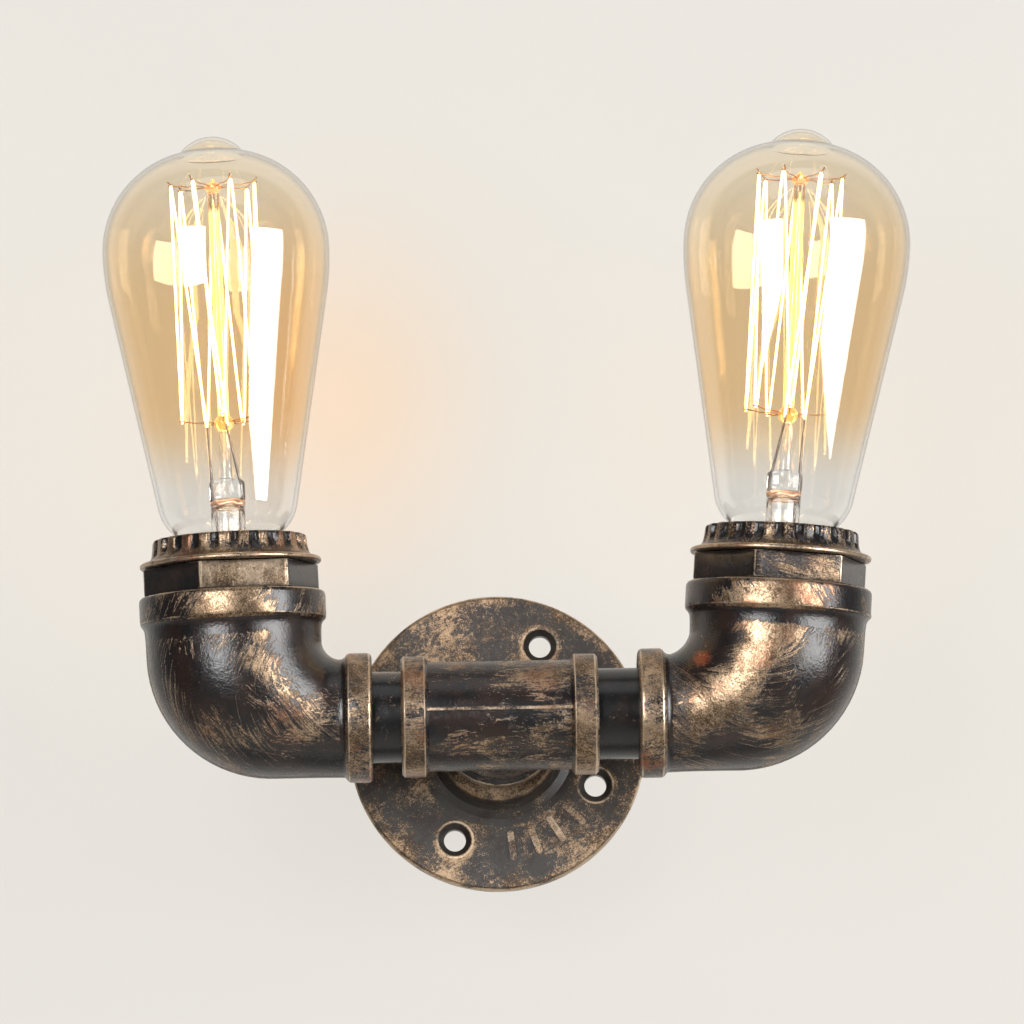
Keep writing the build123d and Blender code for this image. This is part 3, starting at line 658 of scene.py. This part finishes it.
def envelope(side):
    """Blown glass: tip, dome, flank, heel and neck traced as arcs, turned and given its wall."""
    tip = (0, BULB_TOP - TIP_RADIUS)
    dome = (DOME_OFFSET, WIDEST)
    dome_radius = BULB_OD / 2 - DOME_OFFSET
    root = circles_meet(tip, TIP_RADIUS + TIP_ROOT, dome, dome_radius + TIP_ROOT)
    tip_turn = degrees(atan2(root[0] - tip[0], root[1] - tip[1]))
    dome_turn = degrees(atan2(root[0] - dome[0], root[1] - dome[1]))
    flank = (BULB_OD / 2 - FLANK_RADIUS, WIDEST)
    taper = radians(GLASS_TAPER)
    flank_end = WIDEST - FLANK_RADIUS * sin(taper)
    at_heel = flank[0] + FLANK_RADIUS * cos(taper) - (flank_end - HEEL_TOP) * tan(taper)
    heel = (at_heel - HEEL_RADIUS * cos(taper), HEEL_TOP + HEEL_RADIUS * sin(taper))
    neck = GLASS_NECK / 2
    bm = bmesh.new()
    vert = bm.verts.new((0, 0, BULB_TOP))
    vert = trace_arc(bm, vert, tip, tip_turn, 14)
    vert = trace_arc(bm, vert, root, dome_turn - tip_turn, 6)
    vert = trace_arc(bm, vert, dome, 90 - dome_turn, 28)
    vert = trace_arc(bm, vert, flank, GLASS_TAPER, 10)
    vert = trace_to(bm, vert, at_heel, HEEL_TOP)
    vert = trace_arc(bm, vert, heel, HEEL_LIP - GLASS_TAPER, 12)
    vert = trace_to(bm, vert, neck, vert.co.z - (vert.co.x - neck) / tan(radians(HEEL_LIP)))
    trace_to(bm, vert, neck, CAP_MOUTH)
    spun(bm, 160)
    bmesh.ops.solidify(bm, geom=bm.faces, thickness=GLASS_WALL)
    finished(bm, side, "envelope", lamp_place(side), AMBER_GLASS, "bulb", "bulb_glass")


def glass_stem(side):
    """Flared tube, pinched press, centre rod and the two beads, drawn as one outline and turned."""
    tube, rod = STEM_OD / 2, 1.6
    outline = [
        (0, TOP_HUB + 2.6), (0.35, TOP_HUB + 2.4), (0.6, TOP_HUB + 1.6), (1.6, TOP_HUB + 1.2),
        (2.3, TOP_HUB + 0.6), (2.45, TOP_HUB - 0.1), (2.25, TOP_HUB - 0.8), (1.7, TOP_HUB - 1.15),
        (rod, TOP_HUB - 1.4), (rod, BOTTOM_HUB + 2.1), (2.1, BOTTOM_HUB + 1.7), (2.65, BOTTOM_HUB + 0.9),
        (2.75, BOTTOM_HUB - 0.1), (2.5, BOTTOM_HUB - 1.1), (1.95, BOTTOM_HUB - 1.8),
        (rod, BOTTOM_HUB - 2.1), (rod, PRESS_TOP + 1.2), (1.9, PRESS_TOP + 0.4), (2.8, PRESS_TOP + 0.05),
        (4.3, PRESS_TOP - 0.05), (tube - 0.1, PRESS_TOP - 0.6), (tube, PRESS_TOP - 1.6), (tube, 65.0),
        (tube, 63.4), (tube, 62.0), (tube, PRESS_LOW - 0.3), (tube, PRESS_LOW - 1.8), (tube, 56.0),
        (tube, 52.6), (5.4, 50.6), (6.6, 48.9), (8.4, 47.2), (10.4, 45.9), (11.7, 45.2), (11.9, 44.7),
        (11.7, 44.2), (10.4, 44.3), (8.0, 45.9), (6.1, 48.0), (4.9, 50.2), (4.1, 52.4), (tube - 0.8, 56.0),
        (tube - 0.8, PRESS_LOW - 1.8), (3.4, PRESS_LOW - 0.6), (2.2, PRESS_LOW - 0.1), (0, PRESS_LOW)]
    bm = bmesh.new()
    vert = bm.verts.new((0, 0, outline[0][1]))
    for radius, height in outline[1:]:
        vert = trace_to(bm, vert, radius, height)
    spun(bm, 48)
    for vert in bm.verts:
        reach = hypot(vert.co.x, vert.co.y)
        if PRESS_LOW - 0.5 < vert.co.z < PRESS_TOP and reach > 2:
            pinch = min(1.0, (vert.co.z - PRESS_LOW + 0.5) / 2.4)
            vert.co.x *= 1 + 0.05 * pinch
            vert.co.y *= 1 - 0.52 * pinch
    finished(bm, side, "glass_mount", lamp_place(side), STEM_GLASS, "bulb", "bulb_stem")


def wires(side, name, routes, thickness, material, replaced=None):
    """Bent wires as smooth curves through points up the lamp's axis, in mm; a fourth number thins them."""
    curve = bpy.data.curves.new(f"{side}_{name}", "CURVE")
    curve.dimensions = "3D"
    curve.bevel_depth = thickness / 2 * MM
    curve.bevel_resolution = 2
    curve.resolution_u = 5
    curve.use_fill_caps = True
    place = lamp_place(side)
    for route in routes:
        line = curve.splines.new("NURBS")
        line.points.add(len(route) - 1)
        for point, spot in zip(line.points, route):
            point.co = (*(place @ Vector(spot[:3])), 1)
            point.radius = spot[3] if len(spot) > 3 else 1.0
        line.order_u = 3
        line.use_endpoint_u = True
    hung(side, name, curve, material, "bulb", replaced)


def cage_spot(index, half_steps, radius, sideways, height):
    """A place in the filament's cage, out along hook number index or half a step on, and sideways of it."""
    angle = radians(FIRST_HOOK_ANGLE + 360 / UPPER_HOOKS * (index + half_steps / 2))
    return (radius * cos(angle) - sideways * sin(angle), radius * sin(angle) + sideways * cos(angle), height)


def wire_hooks(side):
    """Upper and lower hooks: wavy spokes that end in a small curl round the strand."""
    cage = FILAMENT_CIRCLE / 2
    routes = []
    crowns = ((UPPER_HOOKS, 0, TOP_HUB, 1.9, 0.5), (UPPER_HOOKS - 1, 1, BOTTOM_HUB, 2.3, 1.2))
    for count, half_steps, z, bead, rise in crowns:
        for index in range(count):
            wave = 0.35 if index % 2 else -0.3
            path = ((bead, 0, 0), (4.6, wave, 0.45), (7.4, -wave, -0.2), (10.4, wave * 0.6, 0.1),
                    (cage - 0.1, -0.62, 0.0), (cage + 0.62, -0.3, 0.1), (cage + 0.55, 0.5, 0.2),
                    (cage - 0.2, 0.72, 0.25), (cage - 0.55, 0.1, 0.3), (cage + 0.1, -0.5, 0.55),
                    (cage + 0.9, -0.45, 1.5))
            routes.append([cage_spot(index, half_steps, reach, sideways,
                                     z + lift + rise * min(1, reach / cage))
                           for reach, sideways, lift in path])
    wires(side, "wire_hooks", routes, 0.38, HOOK_METAL, "bulb_hooks")


def lead_wires(side):
    """Two stout leads, thinner towards the top, with their tails down the tube; one ends in a hook."""
    straight = [(-3.3, 0, 27, 0.85), (-3.3, 0, 44, 0.85), (-3.3, 0, 57, 0.85), (-3.8, 0, 62, 1.0),
                (-4.25, 0, 68.2, 1.05), (-4.3, 0, 73, 0.95), (-4.8, 0, 83.6, 0.5)]
    leaning = [(3.3, 0, 27, 0.85), (3.3, 0, 44, 0.85), (3.3, 0, 57, 0.85), (4.0, -0.1, 63, 1.0),
               (4.0, -0.3, 66.5, 1.0), (3.3, -0.9, 70.2, 1.0), (1.2, -3.4, 81.0, 0.75),
               (0.9, -3.8, 82.6, 0.7), (0.7, -3.7, 83.6, 1.0), (1.3, -3.5, 84.1, 0.9),
               (1.5, -3.3, 83.4, 0.6)]
    wires(side, "lead_wires", [straight, leaning], 0.84, LEAD_METAL, "bulb_leads")


def copper_seal(side):
    """Wavy copper band round the foot of the press."""
    wide, deep, height, steps = 4.55, 3.7, 61.1, 15
    band = []
    for step in range(steps + 1):
        turn, dent, lift = radians(360 * step / steps), 0.4 * (step % 2), (0.7, -0.25, 0.25)[step % 3]
        band.append(((wide - dent) * cos(turn), (deep - dent) * sin(turn), height + lift))
    wires(side, "copper_seal", [band], 1.3, SEAL_COPPER)


def filament_strands(side):
    """One strand drawn up and down between the upper and the lower hooks, from lead to lead."""
    high, low, half_width = TOP_HUB + 0.6, BOTTOM_HUB + 1.0, 0.5
    corners = [(1.1, -3.6, 83.4)]
    for index in range(UPPER_HOOKS):
        for half_steps, z in ((0, high), (1, low))[:1 if index == UPPER_HOOKS - 1 else 2]:
            corners += [cage_spot(index, half_steps, FILAMENT_CIRCLE / 2, sideways, z)
                        for sideways in (-half_width, half_width)]
    corners.append((-4.8, 0, 83.6))
    route = [corners[0]]
    for start, end in zip(corners, corners[1:]):
        start, end = Vector(start), Vector(end)
        near = min(0.45, 1.5 / (end - start).length)
        route += [tuple(start.lerp(end, near)), tuple(start.lerp(end, 1 - near))]
    route.append(corners[-1])
    wires(side, "filament_strands", [route], 0.66, FILAMENT, "bulb_filament")


# ---- castings
def heel_distance(corner_x, corner_z, turn):
    """From the throat's centre out to the far wall of the bend, at a turn in radians."""
    centre_x = ELBOW_HEEL_RADIUS - ELBOW_MOUTH
    centre_z = ELBOW_HEEL_RADIUS - ELBOW_NECK
    dx, dz = corner_x - centre_x, corner_z - centre_z
    along = dx * cos(turn) + dz * sin(turn)
    to_arc = along + sqrt(along ** 2 - dx ** 2 - dz ** 2 + ELBOW_HEEL_RADIUS ** 2)
    if corner_z - to_arc * sin(turn) > centre_z:
        return (corner_x + ELBOW_MOUTH) / cos(turn)
    if corner_x - to_arc * cos(turn) > centre_x:
        return (corner_z + ELBOW_NECK) / sin(turn)
    return to_arc


def bend_rings(splay, wall, steps):
    """Places and radii of the bend's rings, from the pipe end round the throat to the lamp end."""
    corner_x = ELBOW_MOUTH + ELBOW_THROAT_RADIUS
    corner_z = ELBOW_NECK + ELBOW_THROAT_RADIUS
    rings = []
    for step in range(steps, -1, -1):
        turn = radians(90 * step / steps)
        far = heel_distance(corner_x, corner_z, turn)
        middle = (far + ELBOW_THROAT_RADIUS) / 2
        centre = Vector((corner_x - middle * cos(turn), 0, corner_z - middle * sin(turn)))
        facing = Matrix.Rotation(-turn, 4, "Y")
        tipped = Matrix.Rotation(radians(-splay * (1 - step / steps)), 4, "Y")
        rings.append((tipped @ Matrix.Translation(centre) @ facing, (far - ELBOW_THROAT_RADIUS) / 2 - wall))
    return rings


def straight_rings(profile, turn):
    """Places and radii of rings along an axis that is turned from -Z towards +X by degrees."""
    axis = Matrix.Rotation(radians(-turn), 4, "Y")
    return [(axis @ Matrix.Translation((0, 0, -reach)), radius) for radius, reach in profile]


def raised_rings(profile, splay):
    """Places and radii of rings up the lamp's axis."""
    return straight_rings([(radius, -height) for radius, height in profile], splay)


def skinned(bm, rings, segments, banded=(), swell=None, *, bare, worn):
    """Bridges circles on the rings into one closed skin. Its map, in metres, runs along and round them.
    Faces after a ring of the first band get the second finish, and so on. By ring number and angle, swell
    moves the radius, bare shifts the share of bare metal and worn marks edges; the angle is 0 towards the
    viewer and grows towards the tee."""
    along = bm.verts.layers.float.new("along")
    around = bm.verts.layers.float.new("around")
    barer = bm.verts.layers.float.new("bare")
    rubbed = bm.verts.layers.float.new("rubbed")
    flow = bm.loops.layers.uv.new("flow")
    loops, travelled, sizes = [], 0.0, {}
    for number, (place, radius) in enumerate(rings):
        if number:
            travelled += max((place.translation - rings[number - 1][0].translation).length,
                             abs(radius - rings[number - 1][1]))
        made = bmesh.ops.create_circle(bm, segments=segments, radius=radius, matrix=Matrix())["verts"]
        for vert in made:
            angle = atan2(vert.co.y, vert.co.x)
            if swell:
                vert.co *= 1 + swell(number, angle) / radius
            vert[along], vert[around] = travelled, angle
            sizes[vert] = radius
        bmesh.ops.transform(bm, matrix=place @ Matrix.Rotation(radians(-90), 4, "Z"), verts=made)
        for vert in made:
            vert[barer] = bare(number, vert[around], vert.co)
            vert[rubbed] = worn(number, vert[around])
        loops.append(list(dict.fromkeys(edge for vert in made for edge in vert.link_edges)))
    for number, (first, second) in enumerate(zip(loops, loops[1:] + loops[:1])):
        for face in bmesh.ops.bridge_loops(bm, edges=first + second)["faces"]:
            face.material_index = next((slot for slot, band in enumerate(banded, 1) if number in band), 0)
            behind = any(abs(corner.vert[around]) > 3 for corner in face.loops)
            for corner in face.loops:
                angle = corner.vert[around]
                if behind and angle < 0:
                    angle += 2 * pi
                corner[flow].uv = (corner.vert[along] * MM, angle * sizes[corner.vert] * MM)
    bmesh.ops.recalc_face_normals(bm, faces=bm.faces)


# Where the brush left more or less bronze on the front of each bend: place across (towards the tee) and up,
# reach, and change of cover. The chain of small patches running down towards the tee adds bronze along the
# lamps' highlight, a painted highlight, and the strongly black one near the throat is painted shade.
BARE_LIT_AND_SHADED_PATCHES = {
    "left": ((-6, 22, 7, 0.2), (7, 18, 6, 0.1), (13, 10, 6, 0.05), (19, 2, 6, 0.05), (-6, 8, 8, -0.25),
             (6, -7, 10, 0.0), (22, 17, 8, -0.6), (-18, 12, 6, -0.1), (20, -12, 6, -0.2)),
    "right": ((3, 22, 8, 0.4), (-9, 20, 6, 0.2), (6, 10, 6, 0.24), (14, 4, 6, 0.26), (20, -1, 5, 0.15),
              (-13, 3, 8, -0.3), (16, -10, 7, -0.2), (19, 20, 8, -0.6), (-20, 12, 5, -0.15)),
}
# The same round the big bands: angle, reach in degrees, and change of cover. Besides the brush's patches, the
# front
# of each band gets more bronze where the lamps' highlight falls and the far sides less where they turn into
# shade:
# painted light and shade.
BAND_LIT_AND_SHADED_PATCHES = {
    "left": ((-68, 34, -0.44), (-6, 24, 0.32), (38, 9, -0.5), (62, 14, -0.2)),
    "right": ((62, 26, -0.46), (4, 30, 0.3), (-48, 10, -0.7), (-75, 20, -0.4)),
}


def elbow_shade(side, band, shaded_hollows):
    """How far each place of the elbow is barer or blacker than the rest; the hollows under the bands are
    painted black as shade.
    """
    def shade(number, angle, spot):
        turn = degrees(angle)
        if number in band:
            return sum(amount * exp(-((turn - centre) / reach) ** 2)
                       for centre, reach, amount in BAND_LIT_AND_SHADED_PATCHES[side])
        # Painted shade: the hollows under the bands are made black.
        if number in shaded_hollows:
            return -0.5
        if abs(turn) > 100:
            return -0.1
        return sum(amount * exp(-((spot.x - x) ** 2 + (spot.z - z) ** 2) / reach ** 2)
                   for x, z, reach, amount in BARE_LIT_AND_SHADED_PATCHES[side])
    return shade


def elbow(side):
    """Cast reducing elbow: swelling bend, filleted bands, a mould seam round the heel and its bores."""
    splay = SPLAY[side]
    neck_foot = ELBOW_MOUTH + ELBOW_THROAT_RADIUS
    mouth_foot = ELBOW_NECK + ELBOW_THROAT_RADIUS
    neck, small = ELBOW_NECK, ELBOW_NECK_BAND
    pipe_end = [(small - 1.3, ELBOW_REACH), (small - 0.6, 37.8), (small - 0.15, 37.3), (small, 36.6),
                (small, 34.2), (small, 31.9), (small - 0.12, 31.35), (small - 0.45, 30.9),
                (small - 1.0, 30.5), (neck + 0.25, 30.0), (neck + 0.05, 29.4)]
    mouth, big = ELBOW_MOUTH, ELBOW_BAND
    lamp_end = [(mouth + 0.03, 22.2), (mouth + 0.1, 24.2), (mouth + 0.25, 25.8), (mouth + 0.55, 26.6),
                (big - 0.75, 27.15), (big - 0.3, 27.55), (big - 0.08, 28.1), (big, 28.8), (big, 31.5),
                (big, 34.0), (big - 0.12, 34.7), (big - 0.45, 35.25), (big - 1.0, 35.55),
                (big - 1.5, ELBOW_TOP)]
    bore_top = [(ELBOW_BORE + 0.7, ELBOW_TOP), (ELBOW_BORE, 35.0), (ELBOW_BORE, mouth_foot)]
    bore_end = [(PIPE_BORE, neck_foot), (PIPE_BORE, 37.4), (PIPE_BORE + 0.5, ELBOW_REACH)]
    rings = straight_rings(pipe_end, 90) + bend_rings(splay, 0, 28)
    lamp_start = len(rings)
    rings += raised_rings(lamp_end, splay) + raised_rings(bore_top, splay)
    rings += bend_rings(splay, ELBOW_WALL, 14)[::-1] + straight_rings(bore_end, 90)
    bm = bmesh.new()
    bands = (range(lamp_start + 4, lamp_start + 14), (*range(0, 8), len(rings) - 1))
    # Rings in the hollows under the bands, which get painted shade.
    shaded_hollows = (9, 10, lamp_start + 1, lamp_start + 2, lamp_start + 3)
    sharp = {2: 1.0, 6: 1.0, lamp_start + 6: 0.6, lamp_start + 11: 0.9}
    skinned(bm, rings, 128, bands, bare=elbow_shade(side, bands[0], shaded_hollows),
            worn=lambda number, angle: sharp.get(number, 0))
    seam_middle, seam_half_width, seam_height = 9, 1.7, 0.3
    for vert in bm.verts:
        outwards = Vector((vert.co.x - seam_middle, 0, vert.co.z - seam_middle))
        on_heel = outwards.length > 24 and vert.co.z < 26.5 and vert.co.x < 29.5
        if abs(vert.co.y) < seam_half_width and on_heel:
            vert.co += outwards.normalized() * seam_height
    finish = LEFT_ELBOW_FINISH if side == "left" else RIGHT_ELBOW_FINISH
    piece = finished(bm, side, "cast_elbow", arm_place(side), finish, "arm", "elbow")
    piece.data.materials.append(BIG_BAND_FINISH)
    piece.data.materials.append(SMALL_BAND_FINISH)


def knurled_ring(side):
    """Fluted ring: broad ridges with dark grooves between them, flaring into the brim."""
    low, top, outside, brim = 43.6, 51.7, 21.8, 25.7
    profile = [(19.7, low), (brim - 0.9, low), (brim - 0.3, low + 0.12), (brim, low + 0.5),
               (brim, low + 1.0), (brim - 0.25, low + 1.4), (brim - 0.9, low + 1.65),
               (outside + 1.7, low + 2.0), (outside + 1.0, low + 2.5), (outside + 0.6, low + 3.2),
               (outside + 0.3, low + 4.4), (outside + 0.1, low + 6.0), (outside, top - 0.9),
               (outside - 0.15, top - 0.4), (outside - 0.6, top - 0.05), (outside - 1.5, top), (18.0, top),
               (17.6, top - 0.3), (17.6, top - 1.0), (19.7, top - 1.0)]
    grooved = {9: 0.25, 10: 0.8, 11: 1.0, 12: 1.05, 13: 1.0, 14: 0.7}

    def knurl(number, angle):
        wave = cos(24 * angle + 1.2)
        groove = min(1.0, max(0.0, (-0.05 - wave) / 0.45))
        return -1.15 * grooved.get(number, 0.0) * groove

    ridge = 0.14 if side == "left" else -0.12

    def tone(number, angle, spot):
        return 0.16 if number < 8 else ridge + 0.5 * knurl(number, angle)

    bm = bmesh.new()
    sharp = {3: 0.9, 4: 0.5, 5: 1.0, 14: 0.6}
    skinned(bm, raised_rings(profile, SPLAY[side]), 288, swell=knurl, bare=tone,
            worn=lambda number, angle: sharp.get(number, 0) * (1 + knurl(number, angle)))
    finished(bm, side, "fluted_ring", arm_place(side), RING_FINISH, "ring", "knurled_ring",
             crease=50)


def hex_collar(side):
    """Hexagonal collar with softened corners, its spigots and bore."""
    half_flat, low, top = 21.8, ELBOW_TOP + 0.02, 43.5
    # Each facet's change of bronze cover: partly the wear on that face and partly painted light and shade,
    # each face made lighter or darker by how it faces the lamps.
    lit_and_shaded_facets = {"left": (0.3, -0.35, 0.05, -0.1, 0.1, -0.6), "right": (-0.04, -0.48, 0.1, 0.0, 0.2, -0.3)}[side]
    profile = [(20.2, 24.0), (20.8, 24.6), (20.8, low), (half_flat - 0.5, low),
               (half_flat - 0.1, low + 0.2), (half_flat, low + 0.5), (half_flat, top - 0.5),
               (half_flat - 0.1, top - 0.2), (half_flat - 0.5, top), (19.65, top), (19.65, 50.1),
               (19.1, 50.6), (18.6, 50.6), (18.6, 26.0), (16.5, 26.0), (16.5, 24.0)]

    def flats(number, angle):
        if not 3 <= number <= 8:
            return 0.0
        from_flat = (angle + pi / 6) % (pi / 3) - pi / 6
        reach = profile[number][0] / cos(from_flat)
        return min(reach, profile[number][0] / cos(pi / 6) - 0.12) - profile[number][0]

    def facet_light_and_shade(number, angle, spot):
        return lit_and_shaded_facets[int((angle + pi / 6) // (pi / 3)) % 6]

    def borders(number, angle):
        from_corner = pi / 6 - abs((angle + pi / 6) % (pi / 3) - pi / 6)
        if not 3 <= number <= 8:
            return 0.0
        if number in (4, 7) or from_corner < 0.01:
            return 0.9
        return 0.55 if side == "left" and abs(angle) < pi / 6 else 0.0

    bm = bmesh.new()
    turned = Matrix.Rotation(radians(HEX_TURN if side == "left" else -HEX_TURN), 4, "Z")
    rings = [(place @ turned, radius) for place, radius in raised_rings(profile, SPLAY[side])]
    skinned(bm, rings, 216, swell=flats, bare=facet_light_and_shade, worn=borders)
    finished(bm, side, "six_sided_collar", arm_place(side), HEX_FINISH, "arm", "hex_collar",
             crease=24)


# ---- carried-over solids and their finishes
FINISHES = {
    "wall_flange": FLANGE_FINISH, "wall_pipe": PIPE_FINISH, "tee": TEE_FINISH, "run_pipe": PIPE_FINISH,
    "elbow": LEFT_ELBOW_FINISH, "hex_collar": HEX_FINISH, "knurled_ring": RING_FINISH,
    "socket_body": PORCELAIN, "screw_shell": NICKEL, "centre_contact": BRASS, "terminals": BRASS,
    "terminal_screws": NICKEL, "bulb_cap": CAP_METAL, "bulb_insulator": BLACK_GLASS, "bulb_contact": SOLDER,
    "bulb_glass": CLEAR_GLASS, "bulb_stem": STEM_GLASS, "bulb_leads": LEAD_METAL, "bulb_hooks": HOOK_METAL,
    "bulb_filament": FILAMENT, "lamp_lead": SLEEVE, "run_lead": SLEEVE, "supply_lead": SLEEVE,
    "lead_cores": CORE, "splice_caps": CRIMP, "splice_cores": CORE}


def dress_solids():
    """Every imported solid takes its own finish."""
    for name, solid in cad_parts.items():
        finish = FINISHES[name.removeprefix("left_").removeprefix("right_")]
        slots = solid.data.materials
        if not slots:
            slots.append(finish)
        for number in range(len(slots)):
            slots[number] = finish


# ---- backdrop, floor, lamps and camera
# Warm glow of the bulbs' light, painted on the wall beside them, as patches takes them.
PAINTED_BULB_GLOWS = ((-0.047, 0.110, 0.036, 0.048, 0.95), (0.052, 0.100, 0.026, 0.042, 0.22),
         (-0.115, 0.085, 0.03, 0.06, 0.12), (0.118, 0.08, 0.03, 0.06, 0.1))
CAMERA_LENS = 243.6
CAMERA_SENSOR = 36.0
CAMERA_SPOT = (-0.02605, -2.0, -0.27722)
CAMERA_SWING = -0.0158
CAMERA_RISE = 0.1713
CAMERA_ROLL = 0.0189


def open_behind(tree, shader):
    """Leaves a sheet open from behind and to the lamps, so that the light is seen and lit from all round."""
    behind = add(tree, "NewGeometry", out="Backfacing")
    see_through(tree, highest(behind, add(tree, "LightPath", out="Is Shadow Ray")), shader)


def floor_paint():
    """Matt pale paint."""
    material, tree, place = new_material("floor_paint")
    tint = (0.78, 0.76, 0.72)
    uneven = ranged(noise(place, 3.0), 0.3, 0.7)
    open_behind(tree, add(tree, "BsdfPrincipled", Base_Color=mixed(uneven, tint, shade(tint, 0.97)),
                          Roughness=0.9))
    return material


def wall_paint():
    """The backdrop's paint. The viewer sees it evenly pale, with a painted warm glow of the bulbs' light
    beside each bulb; it still takes a little of the light's shadow, and metal mirrors less of it from the far
    sides and below."""
    material, tree, place = new_material("wall_paint")
    x, _, z = axes(place)
    uneven = ranged(noise(place, 4.0), 0.3, 0.7)
    pale = mixed(uneven, (0.783, 0.752, 0.698), (0.765, 0.741, 0.693))
    shown = mixed(patches(x, z, PAINTED_BULB_GLOWS), pale, (0.913, 0.722, 0.555))
    paint = add(tree, "BsdfPrincipled", Base_Color=mixed(0.15, pale, shown), Roughness=0.95)
    path = add(tree, "LightPath")
    glossy = path["Is Glossy Ray"]
    beside = ranged(x.to("ABSOLUTE"), 0.14, 0.5, 0.0, 0.9)
    below = ranged(z, -0.4, -0.06, 0.75, 0.0)
    seen = add(tree, "Emission", Color=shown, Strength=1.0 - highest(beside, below) * glossy)
    direct = highest(path["Is Camera Ray"], path["Is Transmission Ray"], glossy) * 0.92
    open_behind(tree, add(tree, "MixShader", direct, paint, seen))
    return material


def flat_stage(name, size, place, material):
    bm = bmesh.new()
    bmesh.ops.create_grid(bm, x_segments=1, y_segments=1, size=size / 2)
    bm.transform(place)
    mesh = bpy.data.meshes.new(name)
    bm.to_mesh(mesh)
    bm.free()
    mesh.materials.append(material)
    placed(name, mesh)


def build_stage():
    """A pale wall behind the light and a pale floor well below it."""
    upright = Matrix.Rotation(radians(90), 4, "X")
    flat_stage("backdrop", 4.0, Matrix.Translation((0, 0.04, 0.6)) @ upright, wall_paint())
    flat_stage("floor", 6.0, Matrix.Translation((0, -1.0, -1.4)), floor_paint())


def light_world():
    """Soft light from all round, dimmer in mirrors; the viewer sees a pale room."""
    world = bpy.data.worlds.new("studio")
    bpy.context.scene.world = world
    world.use_nodes = True
    tree = world.node_tree
    tree.nodes.clear()
    path = add(tree, "LightPath")
    glossy = path["Is Glossy Ray"]
    ahead = axes(add(tree, "TexCoord", out="Generated"))[1]
    shown = path["Is Transmission Ray"] * ranged(ahead, -0.1, 0.2)
    seen = highest(path["Is Camera Ray"], shown, glossy * ranged(ahead, 0.2, 0.6))
    pale = add(tree, "Background", (0.84, 0.80, 0.74), 1.0)
    soft = add(tree, "Background", (1.0, 0.985, 0.96), 0.26 - glossy * 0.2)
    add(tree, "OutputWorld", add(tree, "MixShader", seen, soft, pale))


def softbox(name, azimuth, elevation, distance, width, height, watts):
    """A rectangular lamp facing the light; azimuth turns from the viewer towards +X."""
    lamp = bpy.data.lights.new(name, "AREA")
    lamp.shape = "RECTANGLE"
    lamp.size, lamp.size_y = width, height
    lamp.energy = watts
    holder = placed(name, lamp)
    a, e = radians(azimuth), radians(elevation)
    towards = Vector((sin(a) * cos(e), -cos(a) * cos(e), sin(e)))
    holder.location = Vector((0, -0.05, 0.05)) + towards * distance
    holder.rotation_euler = towards.to_track_quat("Z", "Y").to_euler()


def place_camera():
    """The photograph's view: from slightly below, rolled by a degree."""
    camera = bpy.data.cameras.new("camera")
    camera.lens = CAMERA_LENS
    camera.sensor_width = CAMERA_SENSOR
    camera.clip_start, camera.clip_end = 0.05, 50
    holder = placed("camera", camera)
    turn = (Matrix.Rotation(CAMERA_SWING, 4, "Z") @ Matrix.Rotation(CAMERA_RISE, 4, "X")
            @ Matrix.Rotation(CAMERA_ROLL, 4, "Y"))
    holder.matrix_world = Matrix.Translation(CAMERA_SPOT) @ turn @ Matrix.Rotation(radians(90), 4, "X")
    bpy.context.scene.camera = holder


# ---- the light
dress_solids()
for side in ("left", "right"):
    elbow(side)
    hex_collar(side)
    knurled_ring(side)
    glass_stem(side)
    copper_seal(side)
    lead_wires(side)
    wire_hooks(side)
    filament_strands(side)
    envelope(side)
build_stage()
light_world()
softbox("right_softbox", 52, 1.4, 1.2, 0.80, 0.75, 22.5)
softbox("left_softbox", -24, 3, 1.2, 0.5, 0.66, 14.5)
softbox("top_softbox", 5, 62, 1.3, 1.2, 0.8, 3.0)
place_camera()

bpy.context.scene.view_settings.view_transform = "Standard"
